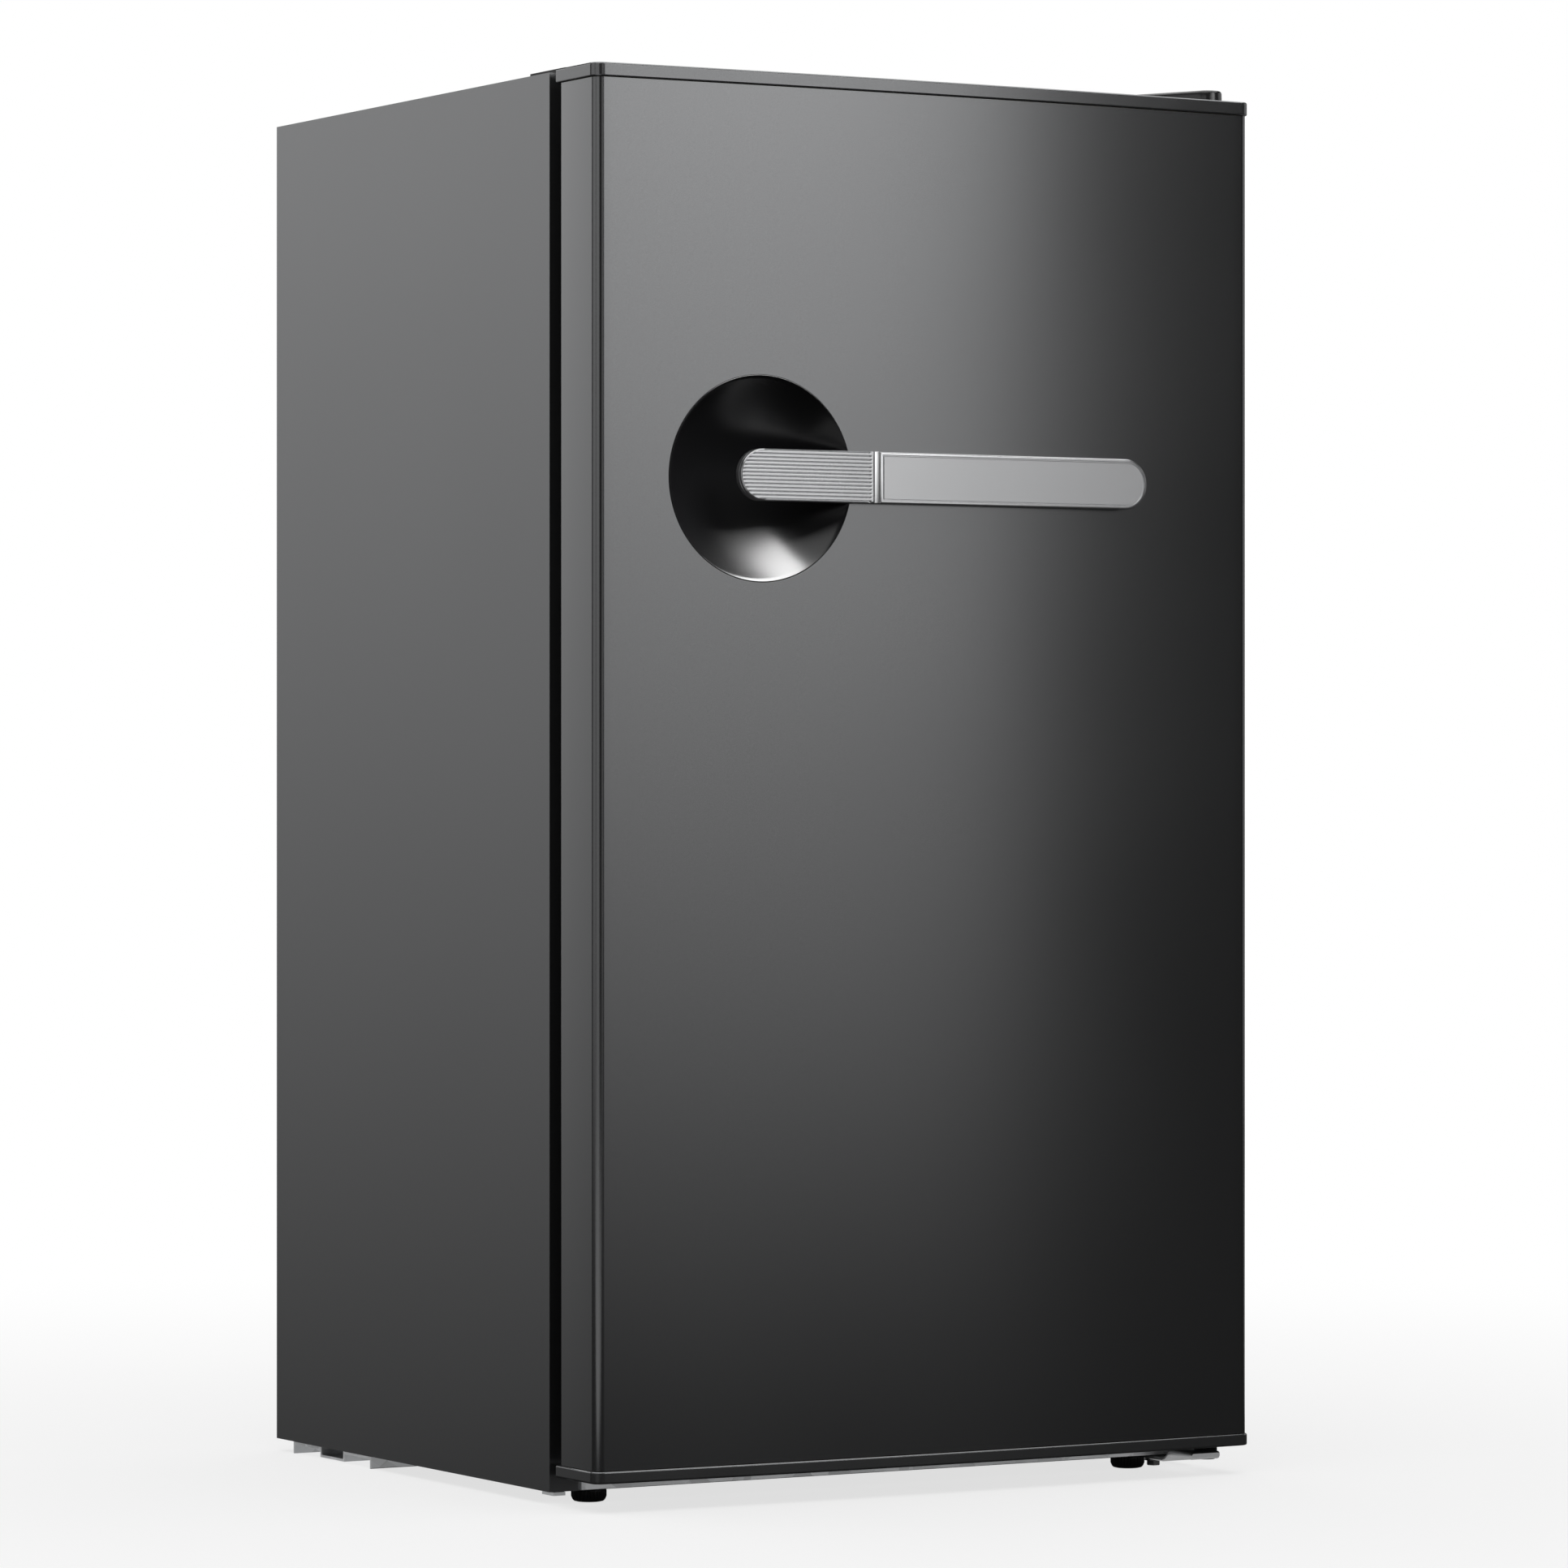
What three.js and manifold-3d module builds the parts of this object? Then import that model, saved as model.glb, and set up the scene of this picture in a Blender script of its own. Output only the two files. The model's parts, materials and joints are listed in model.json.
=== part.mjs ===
// Single-door mini fridge with a horizontal bar handle over a round finger dish.
// Millimetres, +Z up, +X to the viewer's right, +Y to the back. Shapes are drawn with y = 0 at the
// cabinet's front plane and z = 0 at the floor; the last lines move them so that the origin is the
// centre of the footprint.
import * as THREE from 'three';
import { mergeVertices } from 'three/addons/utils/BufferGeometryUtils.js';
import Module from 'manifold-3d';

const wasm = await Module();
wasm.setup();

// ---------------------------------------------------------------- driving dimensions
const WIDTH = 445;            // cabinet and door panel
const CABINET_DEPTH = 360;
const CABINET_HEIGHT = 814;
const GROUND_GAP = 7.5;       // floor to the cabinet's underside
const SHEET = 1;              // steel sheet
const PLASTIC = 2;            // liner wall
const GAP = 0.3;              // between touching pieces
const WALL = 36;              // insulated side wall
const DOOR_GAP = 13;          // cabinet front to the back of the door, filled by the gasket
const DOOR_THICKNESS = 43;
const DOOR_BOW = 5.4;         // how far the middle of the door front stands out
const DOOR_EDGE_RADIUS = 5.5;
const CAP_HEIGHT = 8;
const CAP_OVERHANG = 1.2;
const CAP_REAR_REACH = 3;
const DISH_RADIUS = 59.4;
const DISH_DEPTH = 22;
const BAR_HEIGHT = 30;
const BAR_THICKNESS = 7;
const CONDENSER_STANDOFF = 36.5;

// ---------------------------------------------------------------- places worked out from them
const HALF = WIDTH / 2;
const CABINET_BASE = GROUND_GAP;
const CABINET_TOP = CABINET_BASE + CABINET_HEIGHT;
const DOOR_BASE = CABINET_BASE + 9.5;
const DOOR_TOP = CABINET_TOP + 1;
const DOOR_BACK = -DOOR_GAP;
const DOOR_FRONT = DOOR_BACK - DOOR_THICKNESS;      // at the door's side edges
const BAR_BACK = DOOR_FRONT - DOOR_BOW - GAP;
const BAR_FRONT = BAR_BACK - BAR_THICKNESS;
const REAR = CABINET_DEPTH + CONDENSER_STANDOFF;

const CABIN_HALF = HALF - WALL;
const CABIN_BACK = CABINET_DEPTH - 42;
const CABIN_FLOOR = CABINET_BASE + 40;
const CABIN_CEILING = CABINET_TOP - 38;

const PIN_X = HALF - 15.5;    // door hinge axis
const PIN_Y = -33;
const PIN_RADIUS = 4;

const DISH_X = -HALF + 105.5;
const DISH_Z = 588.9;
const BAR_Z = 590.7;
const BAR_LEFT = -HALF + 87.5;
const BAR_RIGHT = -HALF + 364;
const DIVIDER_LEFT = -HALF + 176;
const DIVIDER_RIGHT = DIVIDER_LEFT + 3.5;

// ---------------------------------------------------------------- materials
const finish = (color, roughness, metalness = 0) =>
  new THREE.MeshStandardMaterial({ color, roughness, metalness });
const FINISH = {
  darkSteel: finish(0x4a4b4d, 0.4, 0.6),
  blackPlastic: finish(0x141415, 0.45),
  glossBlack: finish(0x060607, 0.08),
  silver: finish(0xc4c5c7, 0.3, 0.9),
  chrome: finish(0xe6e6e8, 0.1, 1),
  whiteLiner: finish(0xe9ebec, 0.35),
  whitePlastic: finish(0xf1f2f3, 0.4),
  foam: finish(0xe6d9b0, 0.95),
  gasket: finish(0x1b1b1c, 0.7),
  zinc: finish(0x8f9194, 0.4, 0.9),
  aluminium: finish(0xc9ccd0, 0.35, 0.9),
  glass: finish(0xd5ece6, 0.05),
  clearPlastic: finish(0xdfe8ee, 0.1),
  blackEnamel: finish(0x0c0c0d, 0.3),
  copper: finish(0xb87333, 0.3, 1),
  rubber: finish(0x202020, 0.85),
};

// ---------------------------------------------------------------- small shape tools
const solid = (geometry) => {
  const bare = geometry.clone();
  bare.deleteAttribute('normal');
  bare.deleteAttribute('uv');
  const merged = mergeVertices(bare, 1e-3);
  return new wasm.Manifold(new wasm.Mesh({
    numProp: 3,
    vertProperties: new Float32Array(merged.attributes.position.array),
    triVerts: new Uint32Array(merged.index.array),
  }));
};

const geometryOf = (body) => {
  const mesh = body.getMesh();
  const geometry = new THREE.BufferGeometry();
  geometry.setAttribute('position', new THREE.BufferAttribute(mesh.vertProperties, 3));
  geometry.setIndex(new THREE.BufferAttribute(mesh.triVerts, 1));
  return geometry;
};

const join = (first, ...rest) => rest.reduce((whole, body) => whole.add(body), first);
const cut = (first, ...rest) => rest.reduce((whole, body) => whole.subtract(body), first);

const block = ([x0, x1], [y0, y1], [z0, z1]) =>
  solid(new THREE.BoxGeometry(x1 - x0, y1 - y0, z1 - z0)
    .translate((x0 + x1) / 2, (y0 + y1) / 2, (z0 + z1) / 2));

const extrude = (shape, depth, curveSegments) =>
  new THREE.ExtrudeGeometry(shape, { depth, bevelEnabled: false, curveSegments });

// A shape drawn in (x, y), raised from z0 to z1.
const raise = (shape, [z0, z1], curveSegments = 6) =>
  solid(extrude(shape, z1 - z0, curveSegments).translate(0, 0, z0));

// A shape drawn in (y, z), swept along x.
const sweepX = (shape, [x0, x1], curveSegments = 6) => solid(extrude(shape, x1 - x0, curveSegments)
  .applyMatrix4(new THREE.Matrix4().makeBasis(
    new THREE.Vector3(0, 1, 0), new THREE.Vector3(0, 0, 1), new THREE.Vector3(1, 0, 0)))
  .translate(x0, 0, 0));

// A shape drawn in (x, z), swept along y.
const sweepY = (shape, [y0, y1], curveSegments = 6) => solid(extrude(shape, y1 - y0, curveSegments)
  .applyMatrix4(new THREE.Matrix4().makeBasis(
    new THREE.Vector3(1, 0, 0), new THREE.Vector3(0, 0, 1), new THREE.Vector3(0, -1, 0)))
  .translate(0, y1, 0));

const polygon = (...points) => new THREE.Shape(points.map(([a, b]) => new THREE.Vector2(a, b)));

const roundedBox = ([a0, a1], [b0, b1], r) => {
  const shape = new THREE.Shape();
  shape.absarc(a1 - r, b1 - r, r, 0, Math.PI / 2);
  shape.absarc(a0 + r, b1 - r, r, Math.PI / 2, Math.PI);
  shape.absarc(a0 + r, b0 + r, r, Math.PI, Math.PI * 1.5);
  shape.absarc(a1 - r, b0 + r, r, Math.PI * 1.5, Math.PI * 2);
  return shape;
};

// An upright cylinder, and one lying along x.
const post = (x, y, [z0, z1], r, sides = 20) =>
  solid(new THREE.CylinderGeometry(r, r, z1 - z0, sides).rotateX(Math.PI / 2)
    .translate(x, y, (z0 + z1) / 2));
const rod = ([x0, x1], y, z, r, sides = 16) =>
  solid(new THREE.CylinderGeometry(r, r, x1 - x0, sides).rotateZ(Math.PI / 2)
    .translate((x0 + x1) / 2, y, z));

// A round tube of radius r through the given points, with one ring of vertices at each of them.
const tube = (points, r, sides = 6) => {
  const at = points.map((p) => new THREE.Vector3(...p));
  const runs = at.slice(1).map((p, i) => p.clone().sub(at[i]).normalize());
  const along = at.map((_, i) =>
    (runs[i] || runs[i - 1]).clone().add(runs[i - 1] || runs[i]).normalize());
  const aside = new THREE.Vector3(0.31, 0.52, 0.79).cross(along[0]).normalize();
  const positions = [];
  const index = [];
  at.forEach((centre, i) => {
    if (i) aside.applyQuaternion(new THREE.Quaternion().setFromUnitVectors(along[i - 1], along[i]));
    for (let k = 0; k < sides; k += 1) {
      const arm = aside.clone().applyAxisAngle(along[i], 2 * Math.PI * k / sides).multiplyScalar(r);
      positions.push(...arm.add(centre).toArray());
      const next = (k + 1) % sides;
      const [a, b] = [(i - 1) * sides, i * sides];
      if (i) index.push(a + k, a + next, b + next, a + k, b + next, b + k);
      if (k > 1) {
        if (i === 0) index.push(0, k, k - 1);
        if (i === at.length - 1) index.push(b, b + k - 1, b + k);
      }
    }
  });
  const geometry = new THREE.BufferGeometry();
  geometry.setAttribute('position', new THREE.Float32BufferAttribute(positions, 3));
  geometry.setIndex(index);
  return solid(geometry);
};

// The same points with every corner rounded off, ends kept.
const rounded = (points, divisions) => {
  const corners = points.map((p) => new THREE.Vector3(...p));
  const curve = new THREE.CatmullRomCurve3(corners, false, 'centripetal');
  return curve.getPoints(divisions).map((p) => p.toArray());
};

// A turned solid on an upright axis through the origin, from [radius, height] points.
const turned = (profile, sides) => new THREE.LatheGeometry(
  profile.map(([r, z]) => new THREE.Vector2(r, z)), sides).rotateX(Math.PI / 2);

const group = new THREE.Group();
const add = (name, body, material, parent = group) => {
  const mesh = new THREE.Mesh(geometryOf(body), material);
  mesh.name = name;
  parent.add(mesh);
};

// ---------------------------------------------------------------- cabinet shell, foam and liner
const NICHE_FRONT = 222;      // compressor bay behind and under the cabin
const NICHE_TOP = 192;
const NICHE_SLOPE_Y = 262;
const NICHE_SLOPE_Z = 140;
const HUMP_FRONT = 184;       // the same step inside the cabin
const HUMP_TOP = 230;
const HUMP_SLOPE_Y = 243.3;
const HUMP_SLOPE_Z = 152.9;
const FRONT_FLANGE = 22;

const nicheProfile = (grow) => polygon(
  [NICHE_FRONT - grow, CABINET_BASE - 5], [NICHE_FRONT - grow, NICHE_SLOPE_Z + grow / 3],
  [NICHE_SLOPE_Y - grow * 0.5, NICHE_TOP + grow], [CABINET_DEPTH + 5, NICHE_TOP + grow],
  [CABINET_DEPTH + 5, CABINET_BASE - 5]);

const cabinProfile = (grow, front) => polygon(
  [front, CABIN_FLOOR - grow], [HUMP_FRONT + grow, CABIN_FLOOR - grow],
  [HUMP_FRONT + grow, HUMP_SLOPE_Z - grow / 3], [HUMP_SLOPE_Y + grow * 0.5, HUMP_TOP - grow],
  [CABIN_BACK + grow, HUMP_TOP - grow], [CABIN_BACK + grow, CABIN_CEILING + grow],
  [front, CABIN_CEILING + grow]);

const across = (inset) => [-HALF + inset, HALF - inset];
const heights = (inset) => [CABINET_BASE + inset, CABINET_TOP - inset];

// One steel sheet bent over the sides and top, its edges turned in at the front, back and underside.
const outerShell = () => cut(
  block(across(0), [0, CABINET_DEPTH], heights(0)),
  block(across(SHEET), [SHEET, CABINET_DEPTH - SHEET], heights(SHEET)),
  block(across(FRONT_FLANGE), [-1, 5], [CABINET_BASE + FRONT_FLANGE, CABINET_TOP - FRONT_FLANGE]),
  block(across(12), [CABINET_DEPTH - 5, CABINET_DEPTH + 1], [CABINET_BASE - 1, CABINET_TOP - 12]),
  block(across(15), [SHEET, CABINET_DEPTH - SHEET], [CABINET_BASE - 1, CABINET_BASE + 5]),
);

const backPanel = () => block(across(SHEET + GAP),
  [CABINET_DEPTH - 2 * SHEET - GAP, CABINET_DEPTH - SHEET - GAP],
  [NICHE_TOP + 5, CABINET_TOP - SHEET - GAP]);

const bottomPanel = () => cut(
  block(across(SHEET + GAP), [SHEET + GAP, NICHE_FRONT - 2 - GAP],
    [CABINET_BASE + SHEET + GAP, CABINET_BASE + 2 * SHEET + GAP]),
  ...FEET_X.map((x) => post(x, FOOT_Y, [0, 30], STUD_RADIUS + 0.5)),
);

const nichePanel = () => cut(
  sweepX(nicheProfile(SHEET), across(SHEET + GAP)),
  sweepX(nicheProfile(0), [-HALF, HALF]),
  block([-HALF, HALF], [0, CABINET_DEPTH + 10], [0, CABINET_BASE + SHEET + GAP]),
  block([-HALF, HALF], [CABINET_DEPTH - 2 * SHEET - 2 * GAP, CABINET_DEPTH + 10], [0, NICHE_TOP + 10]),
);

const cabinetFoam = () => cut(
  block(across(SHEET + GAP), [PLASTIC + GAP, CABINET_DEPTH - 2 * SHEET - 2 * GAP],
    [CABINET_BASE + 2 * SHEET + 2 * GAP, CABINET_TOP - SHEET - GAP]),
  sweepX(cabinProfile(PLASTIC + GAP, -5), [-CABIN_HALF - PLASTIC - GAP, CABIN_HALF + PLASTIC + GAP]),
  sweepX(nicheProfile(SHEET + GAP), [-HALF, HALF]),
  nutBar(GAP),
  ...FEET_X.map((x) => post(x, FOOT_Y, [0, 32], STUD_RADIUS + 1)),
);

const SHELF_LEVELS = [242, 432];
const SPARE_LEVELS = [337, 527];
const LEDGE_REACH = 6;
const LEDGE_THICKNESS = 4;

// Vacuum-formed white liner: cabin walls, compressor hump, shelf ledges and a front flange.
const innerLiner = () => {
  const walls = cut(
    sweepX(cabinProfile(PLASTIC, 0), [-CABIN_HALF - PLASTIC, CABIN_HALF + PLASTIC]),
    sweepX(cabinProfile(0, -5), [-CABIN_HALF, CABIN_HALF]),
  );
  const flange = cut(
    block(across(FRONT_FLANGE + GAP), [0, PLASTIC],
      [CABINET_BASE + FRONT_FLANGE + GAP, CABINET_TOP - FRONT_FLANGE - GAP]),
    block([-CABIN_HALF, CABIN_HALF], [-5, 5], [CABIN_FLOOR, CABIN_CEILING]),
  );
  const ledges = [...SHELF_LEVELS, ...SPARE_LEVELS].flatMap((z) => [-1, 1].map((side) => {
    const inner = side * (CABIN_HALF - LEDGE_REACH);
    const outer = side * (CABIN_HALF + PLASTIC / 2);
    return block([Math.min(inner, outer), Math.max(inner, outer)], [60, CABIN_BACK],
      [z - GAP - LEDGE_THICKNESS, z - GAP]);
  }));
  return join(walls, flange, ...ledges);
};

// ---------------------------------------------------------------- underside: feet, rail and hinge plates
const FOOT_Y = 10;
const FEET_X = [-HALF + 31, HALF - 43.5];
const FOOT_RADIUS = 10.3;
const STUD_RADIUS = 4;

const FOOT_PAD = [[0, 0], [7.5, 0], [9.3, 1], [FOOT_RADIUS, 3], [FOOT_RADIUS, 7], [0, 7]];

const foot = (x) => join(
  solid(turned(FOOT_PAD, 24).translate(x, FOOT_Y, 0)),
  post(x, FOOT_Y, [6, 30], STUD_RADIUS, 16),
);

// Steel bar over the bottom panel with a nut for each foot.
const nutBar = (grow = 0) => {
  const base = CABINET_BASE + 2 * SHEET + 2 * GAP;
  const bar = block([FEET_X[0] - 12 - grow, FEET_X[1] + 12 + grow],
    [FOOT_Y - 7 - grow, FOOT_Y + 7 + grow], [base - grow, base + 1.5 + grow]);
  const nuts = FEET_X.map((x) => post(x, FOOT_Y, [base, base + 9 + grow], 7 + grow, 6));
  const holes = FEET_X.map((x) => post(x, FOOT_Y, [0, 40], STUD_RADIUS + GAP - grow, 16));
  return cut(join(bar, ...nuts), ...holes);
};

// Grey steel rail that stiffens the front lower edge, seen under the door between the feet.
const UNDERSIDE = CABINET_BASE - GAP;
const frontRail = () => block([-HALF + 20, HALF - 20], [-1.8, -GAP], [CABINET_BASE + 0.5, DOOR_BASE + 6]);

const cornerTab = () => block([-HALF + 2.6, -HALF + 10.6], [0.5, 14], [UNDERSIDE - 2, UNDERSIDE]);

// Cranked steel plate: screwed under the cabinet, its nose one step higher under the door.
const HINGE_PLATE = 3;
const NOSE_TOP = DOOR_BASE - 4;
const NOSE_X = [PIN_X - 12, PIN_X + 6.5];
const RISER_Y = [-17, -14];

const bottomHinge = () => {
  const plate = raise(roundedBox([HALF - 50, HALF - 6], [-15, 60], 5), [UNDERSIDE - HINGE_PLATE, UNDERSIDE]);
  const riser = block(NOSE_X, RISER_Y, [UNDERSIDE - HINGE_PLATE, NOSE_TOP]);
  const nose = join(
    block(NOSE_X, [PIN_Y, RISER_Y[1]], [NOSE_TOP - HINGE_PLATE, NOSE_TOP]),
    post((NOSE_X[0] + NOSE_X[1]) / 2, PIN_Y, [NOSE_TOP - HINGE_PLATE, NOSE_TOP], 9.25),
  );
  const notch = post(FEET_X[1], FOOT_Y, [0, 20], FOOT_RADIUS + 2);
  return cut(join(plate, riser, nose), notch, post(PIN_X, PIN_Y, [0, 40], PIN_RADIUS + GAP));
};

// Stud with a shoulder that carries the door's bush and a hexagonal nut under the nose.
const bottomHingePin = () => join(
  post(PIN_X, PIN_Y, [NOSE_TOP - 4.5, DOOR_BASE + 14], PIN_RADIUS),
  post(PIN_X, PIN_Y, [NOSE_TOP + GAP, DOOR_BASE - GAP], 6.5),
  post(PIN_X, PIN_Y, [NOSE_TOP - 7, NOSE_TOP - HINGE_PLATE - GAP], 6, 6),
);

// ---------------------------------------------------------------- top hinge and covers
const TOP_PLATE_BASE = CABINET_TOP + 2.5;

const hingeOutline = (grow) => {
  const shape = new THREE.Shape();
  shape.absarc(PIN_X - 1, PIN_Y - 3, 8 + grow, Math.PI * 1.07, 2 * Math.PI);
  shape.lineTo(PIN_X + 7 + grow, 50 + grow);
  shape.lineTo(PIN_X - 29 - grow, 50 + grow);
  shape.lineTo(PIN_X - 29 - grow, 8);
  shape.closePath();
  return shape;
};

const topHinge = () => cut(
  join(
    raise(hingeOutline(-0.6), [TOP_PLATE_BASE, TOP_PLATE_BASE + 2.5], 6),
    block([PIN_X - 25, PIN_X + 3], [10, 46], [CABINET_TOP + GAP, TOP_PLATE_BASE + 1]),
  ),
  post(PIN_X, PIN_Y, [0, 900], PIN_RADIUS + GAP),
);

const topHingePin = () => join(
  post(PIN_X, PIN_Y, [DOOR_TOP - 14, TOP_PLATE_BASE + 2.6], PIN_RADIUS),
  post(PIN_X, PIN_Y, [TOP_PLATE_BASE - 1.2, TOP_PLATE_BASE - GAP], 5.5),
);

const topHingeCover = () => cut(
  raise(hingeOutline(1), [CABINET_TOP + GAP, CABINET_TOP + 8.5], 6),
  raise(hingeOutline(-0.3), [CABINET_TOP - 1, CABINET_TOP + 7.2], 6),
  block([0, HALF + 10], [-60, 0], [CABINET_TOP - 1, DOOR_TOP + 1]),
);

const spareHingeCover = () => join(
  raise(roundedBox([-HALF + 6, -HALF + 42], [GAP, 38], 4), [CABINET_TOP + GAP, CABINET_TOP + 2.6]),
  raise(roundedBox([-HALF + 6, -HALF + 30], [-9, 10], 3), [CABINET_TOP + 1.4, CABINET_TOP + 2.6]),
);

// ---------------------------------------------------------------- compressor bay and condenser
const COMPRESSOR_X = 70;
const COMPRESSOR_Y = 285;
const COMPRESSOR_BASE = 22;
const GROMMETS = [[-62, -36], [62, -36], [-62, 36], [62, 36]];

// Pressed plate with two raised channels, its end legs and the trough between them reaching the floor.
const BASE_LEGS = [231, 338];
const BASE_TROUGH = [269, 299];
const compressorBase = () => {
  const [front, rear] = BASE_LEGS;
  const [near, far] = BASE_TROUGH;
  const top = UNDERSIDE;
  const t = 1.5;
  const edge = [[front, 0], [front, top], [near, top], [near, 1 + t], [far, 1 + t], [far, top],
    [rear, top], [rear, 0]];
  const under = [[rear - t, 0], [rear - t, top - t], [far + t, top - t], [far + t, 1], [near - t, 1],
    [near - t, top - t], [front + t, top - t], [front + t, 0]];
  return sweepX(polygon(...edge, ...under), across(SHEET));
};

// Welded can: a lower cup, a seam bead where the lid's skirt overlaps it, and a domed lid.
const CAN_HEIGHT = 143;
const CAN_PROFILE = [[0, 0], [40, 0], [52, 8], [55, 22], [55, 62], [57, 64], [57, 70], [55, 72],
  [55, 100], [50, 122], [32, 138], [0, CAN_HEIGHT]];
const CAN_STRETCH = 1.22;

const compressor = () => {
  const can = solid(turned(CAN_PROFILE, 24).scale(CAN_STRETCH, 1, 1)
    .translate(COMPRESSOR_X, COMPRESSOR_Y, COMPRESSOR_BASE + 4));
  const feet = roundedBox([COMPRESSOR_X - 76, COMPRESSOR_X + 76], [COMPRESSOR_Y - 48, COMPRESSOR_Y + 48], 12);
  const plate = raise(feet, [COMPRESSOR_BASE, COMPRESSOR_BASE + 4.5]);
  const holes = GROMMETS.map(([dx, dy]) => post(COMPRESSOR_X + dx, COMPRESSOR_Y + dy, [0, 60], 7.3));
  const stubs = STUBS.map(([x, y, z]) => tube([[x, y - 25, z], [x, y, z]], 4, 10));
  return join(cut(join(can, plate), ...holes), ...stubs);
};

const grommet = ([dx, dy]) => {
  const x = COMPRESSOR_X + dx;
  const y = COMPRESSOR_Y + dy;
  return cut(
    join(
      post(x, y, [CABINET_BASE, COMPRESSOR_BASE - GAP], 10, 12),
      post(x, y, [COMPRESSOR_BASE - 1, COMPRESSOR_BASE + 6], 7, 12),
      post(x, y, [COMPRESSOR_BASE + 4.5 + GAP, COMPRESSOR_BASE + 9], 9, 12),
    ),
    post(x, y, [0, 60], 3, 12),
  );
};

// Box over the start relay on the can's left end, with the mains lead's clamp low on its rear.
const RELAY_X = [COMPRESSOR_X - 120, COMPRESSOR_X - 71];
const relayCover = () => join(
  raise(roundedBox(RELAY_X, [COMPRESSOR_Y - 26, COMPRESSOR_Y + 26], 5), [62, 122]),
  block([RELAY_X[0] + 10, RELAY_X[1] - 13], [COMPRESSOR_Y + 20, COMPRESSOR_Y + 34], [66, 80]),
);

// Shallow pan over the dome; the defrost water boils off in it.
const evaporationTray = () => {
  const z = COMPRESSOR_BASE + 4 + CAN_HEIGHT + GAP;
  const [x, y] = [[COMPRESSOR_X - 56, COMPRESSOR_X + 56], [267, 346]];
  return cut(block(x, y, [z, z + 15]), block([x[0] + 2, x[1] - 2], [y[0] + 2, y[1] - 2], [z + 2, z + 20]));
};

const COIL_Y = REAR - 4.2;
const COIL_HALF = 178;
const COIL_BOTTOM = 262;
const COIL_PITCH = 46;
const COIL_RUNS = 11;
const COIL_RADIUS = 2.6;
const COIL_LAST = COIL_BOTTOM + (COIL_RUNS - 1) * COIL_PITCH;
const TUBE_ENTRY_Z = 236;

// Points of one serpentine, run by run, with a half-round return at the end of each.
const coilPoints = () => Array.from({ length: COIL_RUNS }, (_, run) => {
  const side = run % 2 ? -1 : 1;
  const reach = COIL_HALF - COIL_PITCH / 2;
  const z = COIL_BOTTOM + run * COIL_PITCH;
  const turn = [-60, -30, 0, 30, 60].map(THREE.MathUtils.degToRad).map((angle) => [
    side * (reach + Math.cos(angle) * COIL_PITCH / 2), COIL_Y,
    z + (1 + Math.sin(angle)) * COIL_PITCH / 2]);
  return [[-side * reach, COIL_Y, z], [side * reach, COIL_Y, z], ...(run < COIL_RUNS - 1 ? turn : [])];
}).flat();

// Upright strap that carries the coil. Each end has a foot on the back panel and a lip that hooks
// over the outermost run.
const STRAP_HALF = 7;
const condenserStrap = (x) => {
  const low = COIL_BOTTOM - 14;
  const high = COIL_LAST + 14;
  const width = [x - STRAP_HALF, x + STRAP_HALF];
  const strapY = [COIL_Y - COIL_RADIUS - 2.2, COIL_Y - COIL_RADIUS - GAP];
  const foot = (z) => [
    block(width, [CABINET_DEPTH + GAP, strapY[1]], [z - 1, z + 1]),
    block(width, [CABINET_DEPTH + GAP, CABINET_DEPTH + 2], [z - 9, z + 1]),
  ];
  const hook = (z, lip) => [
    block(width, [strapY[0], REAR], [z - 0.6, z + 0.6]),
    block(width, [REAR - 1.2, REAR], lip),
  ];
  return join(block(width, strapY, [low, high]), ...foot(low), ...foot(high - 1),
    ...hook(low + 5, [low + 4.4, COIL_BOTTOM + 3]), ...hook(high - 5, [COIL_LAST - 3, high - 4.4]));
};

// Compressor stubs: suction, discharge and charging, as x, y, z of their open ends.
const STUB_Y = COMPRESSOR_Y + 66;
const STUBS = [[COMPRESSOR_X - 30, STUB_Y, 60], [COMPRESSOR_X + 22, STUB_Y, 52],
  [COMPRESSOR_X - 4, STUB_Y, 74]];

const COIL_END = COIL_HALF - COIL_PITCH / 2 + GAP;
const RISER_X = 200;

// Hot gas goes up the right side to the coil's top run.
const dischargeTube = () => {
  const [x, y, z] = STUBS[1];
  const sweep = rounded([[x + 3, y + 18, z + 8], [x + 30, y + 22, z + 32],
    [RISER_X - 16, COIL_Y - 6, 130], [RISER_X, COIL_Y, 190]], 12);
  return tube([[x, y + 0.5, z], [x, y + 10, z], ...sweep, [RISER_X, COIL_Y, COIL_LAST - 18],
    [RISER_X - 5, COIL_Y, COIL_LAST - 5], [RISER_X - 18, COIL_Y, COIL_LAST],
    [COIL_END, COIL_Y, COIL_LAST]], COIL_RADIUS);
};

// Cold gas comes back out of the foam and down to the can.
const SUCTION_SHIFT = -62;
const suctionTube = () => {
  const [x, y, z] = STUBS[0];
  const far = x + SUCTION_SHIFT;
  const sweep = rounded([[x, y + 16, z + 8], [x, y + 17, z + 40], [x - 40, y + 17, z + 110],
    [far + 2, y + 17, TUBE_ENTRY_Z - 20], [far, y + 15, TUBE_ENTRY_Z + 8]], 14);
  return tube([[x, y + 0.5, z], [x, y + 8, z], ...sweep, [far, CABINET_DEPTH + 4, TUBE_ENTRY_Z + 16],
    [far, CABINET_DEPTH + GAP, TUBE_ENTRY_Z + 16]], 3);
};

const DRIER_X = -150;
const DRIER_Y = 345;
const DRIER_Z = 48;
const DRIER_LENGTH = 100;
const DRIER_PROFILE = [[0, 0], [2.2, 0], [2.6, 8], [9, 16], [9, 82], [3.4, 92], [3.2, DRIER_LENGTH],
  [0, DRIER_LENGTH]];
const drier = () => solid(turned(DRIER_PROFILE, 12).translate(DRIER_X, DRIER_Y, DRIER_Z));

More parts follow.
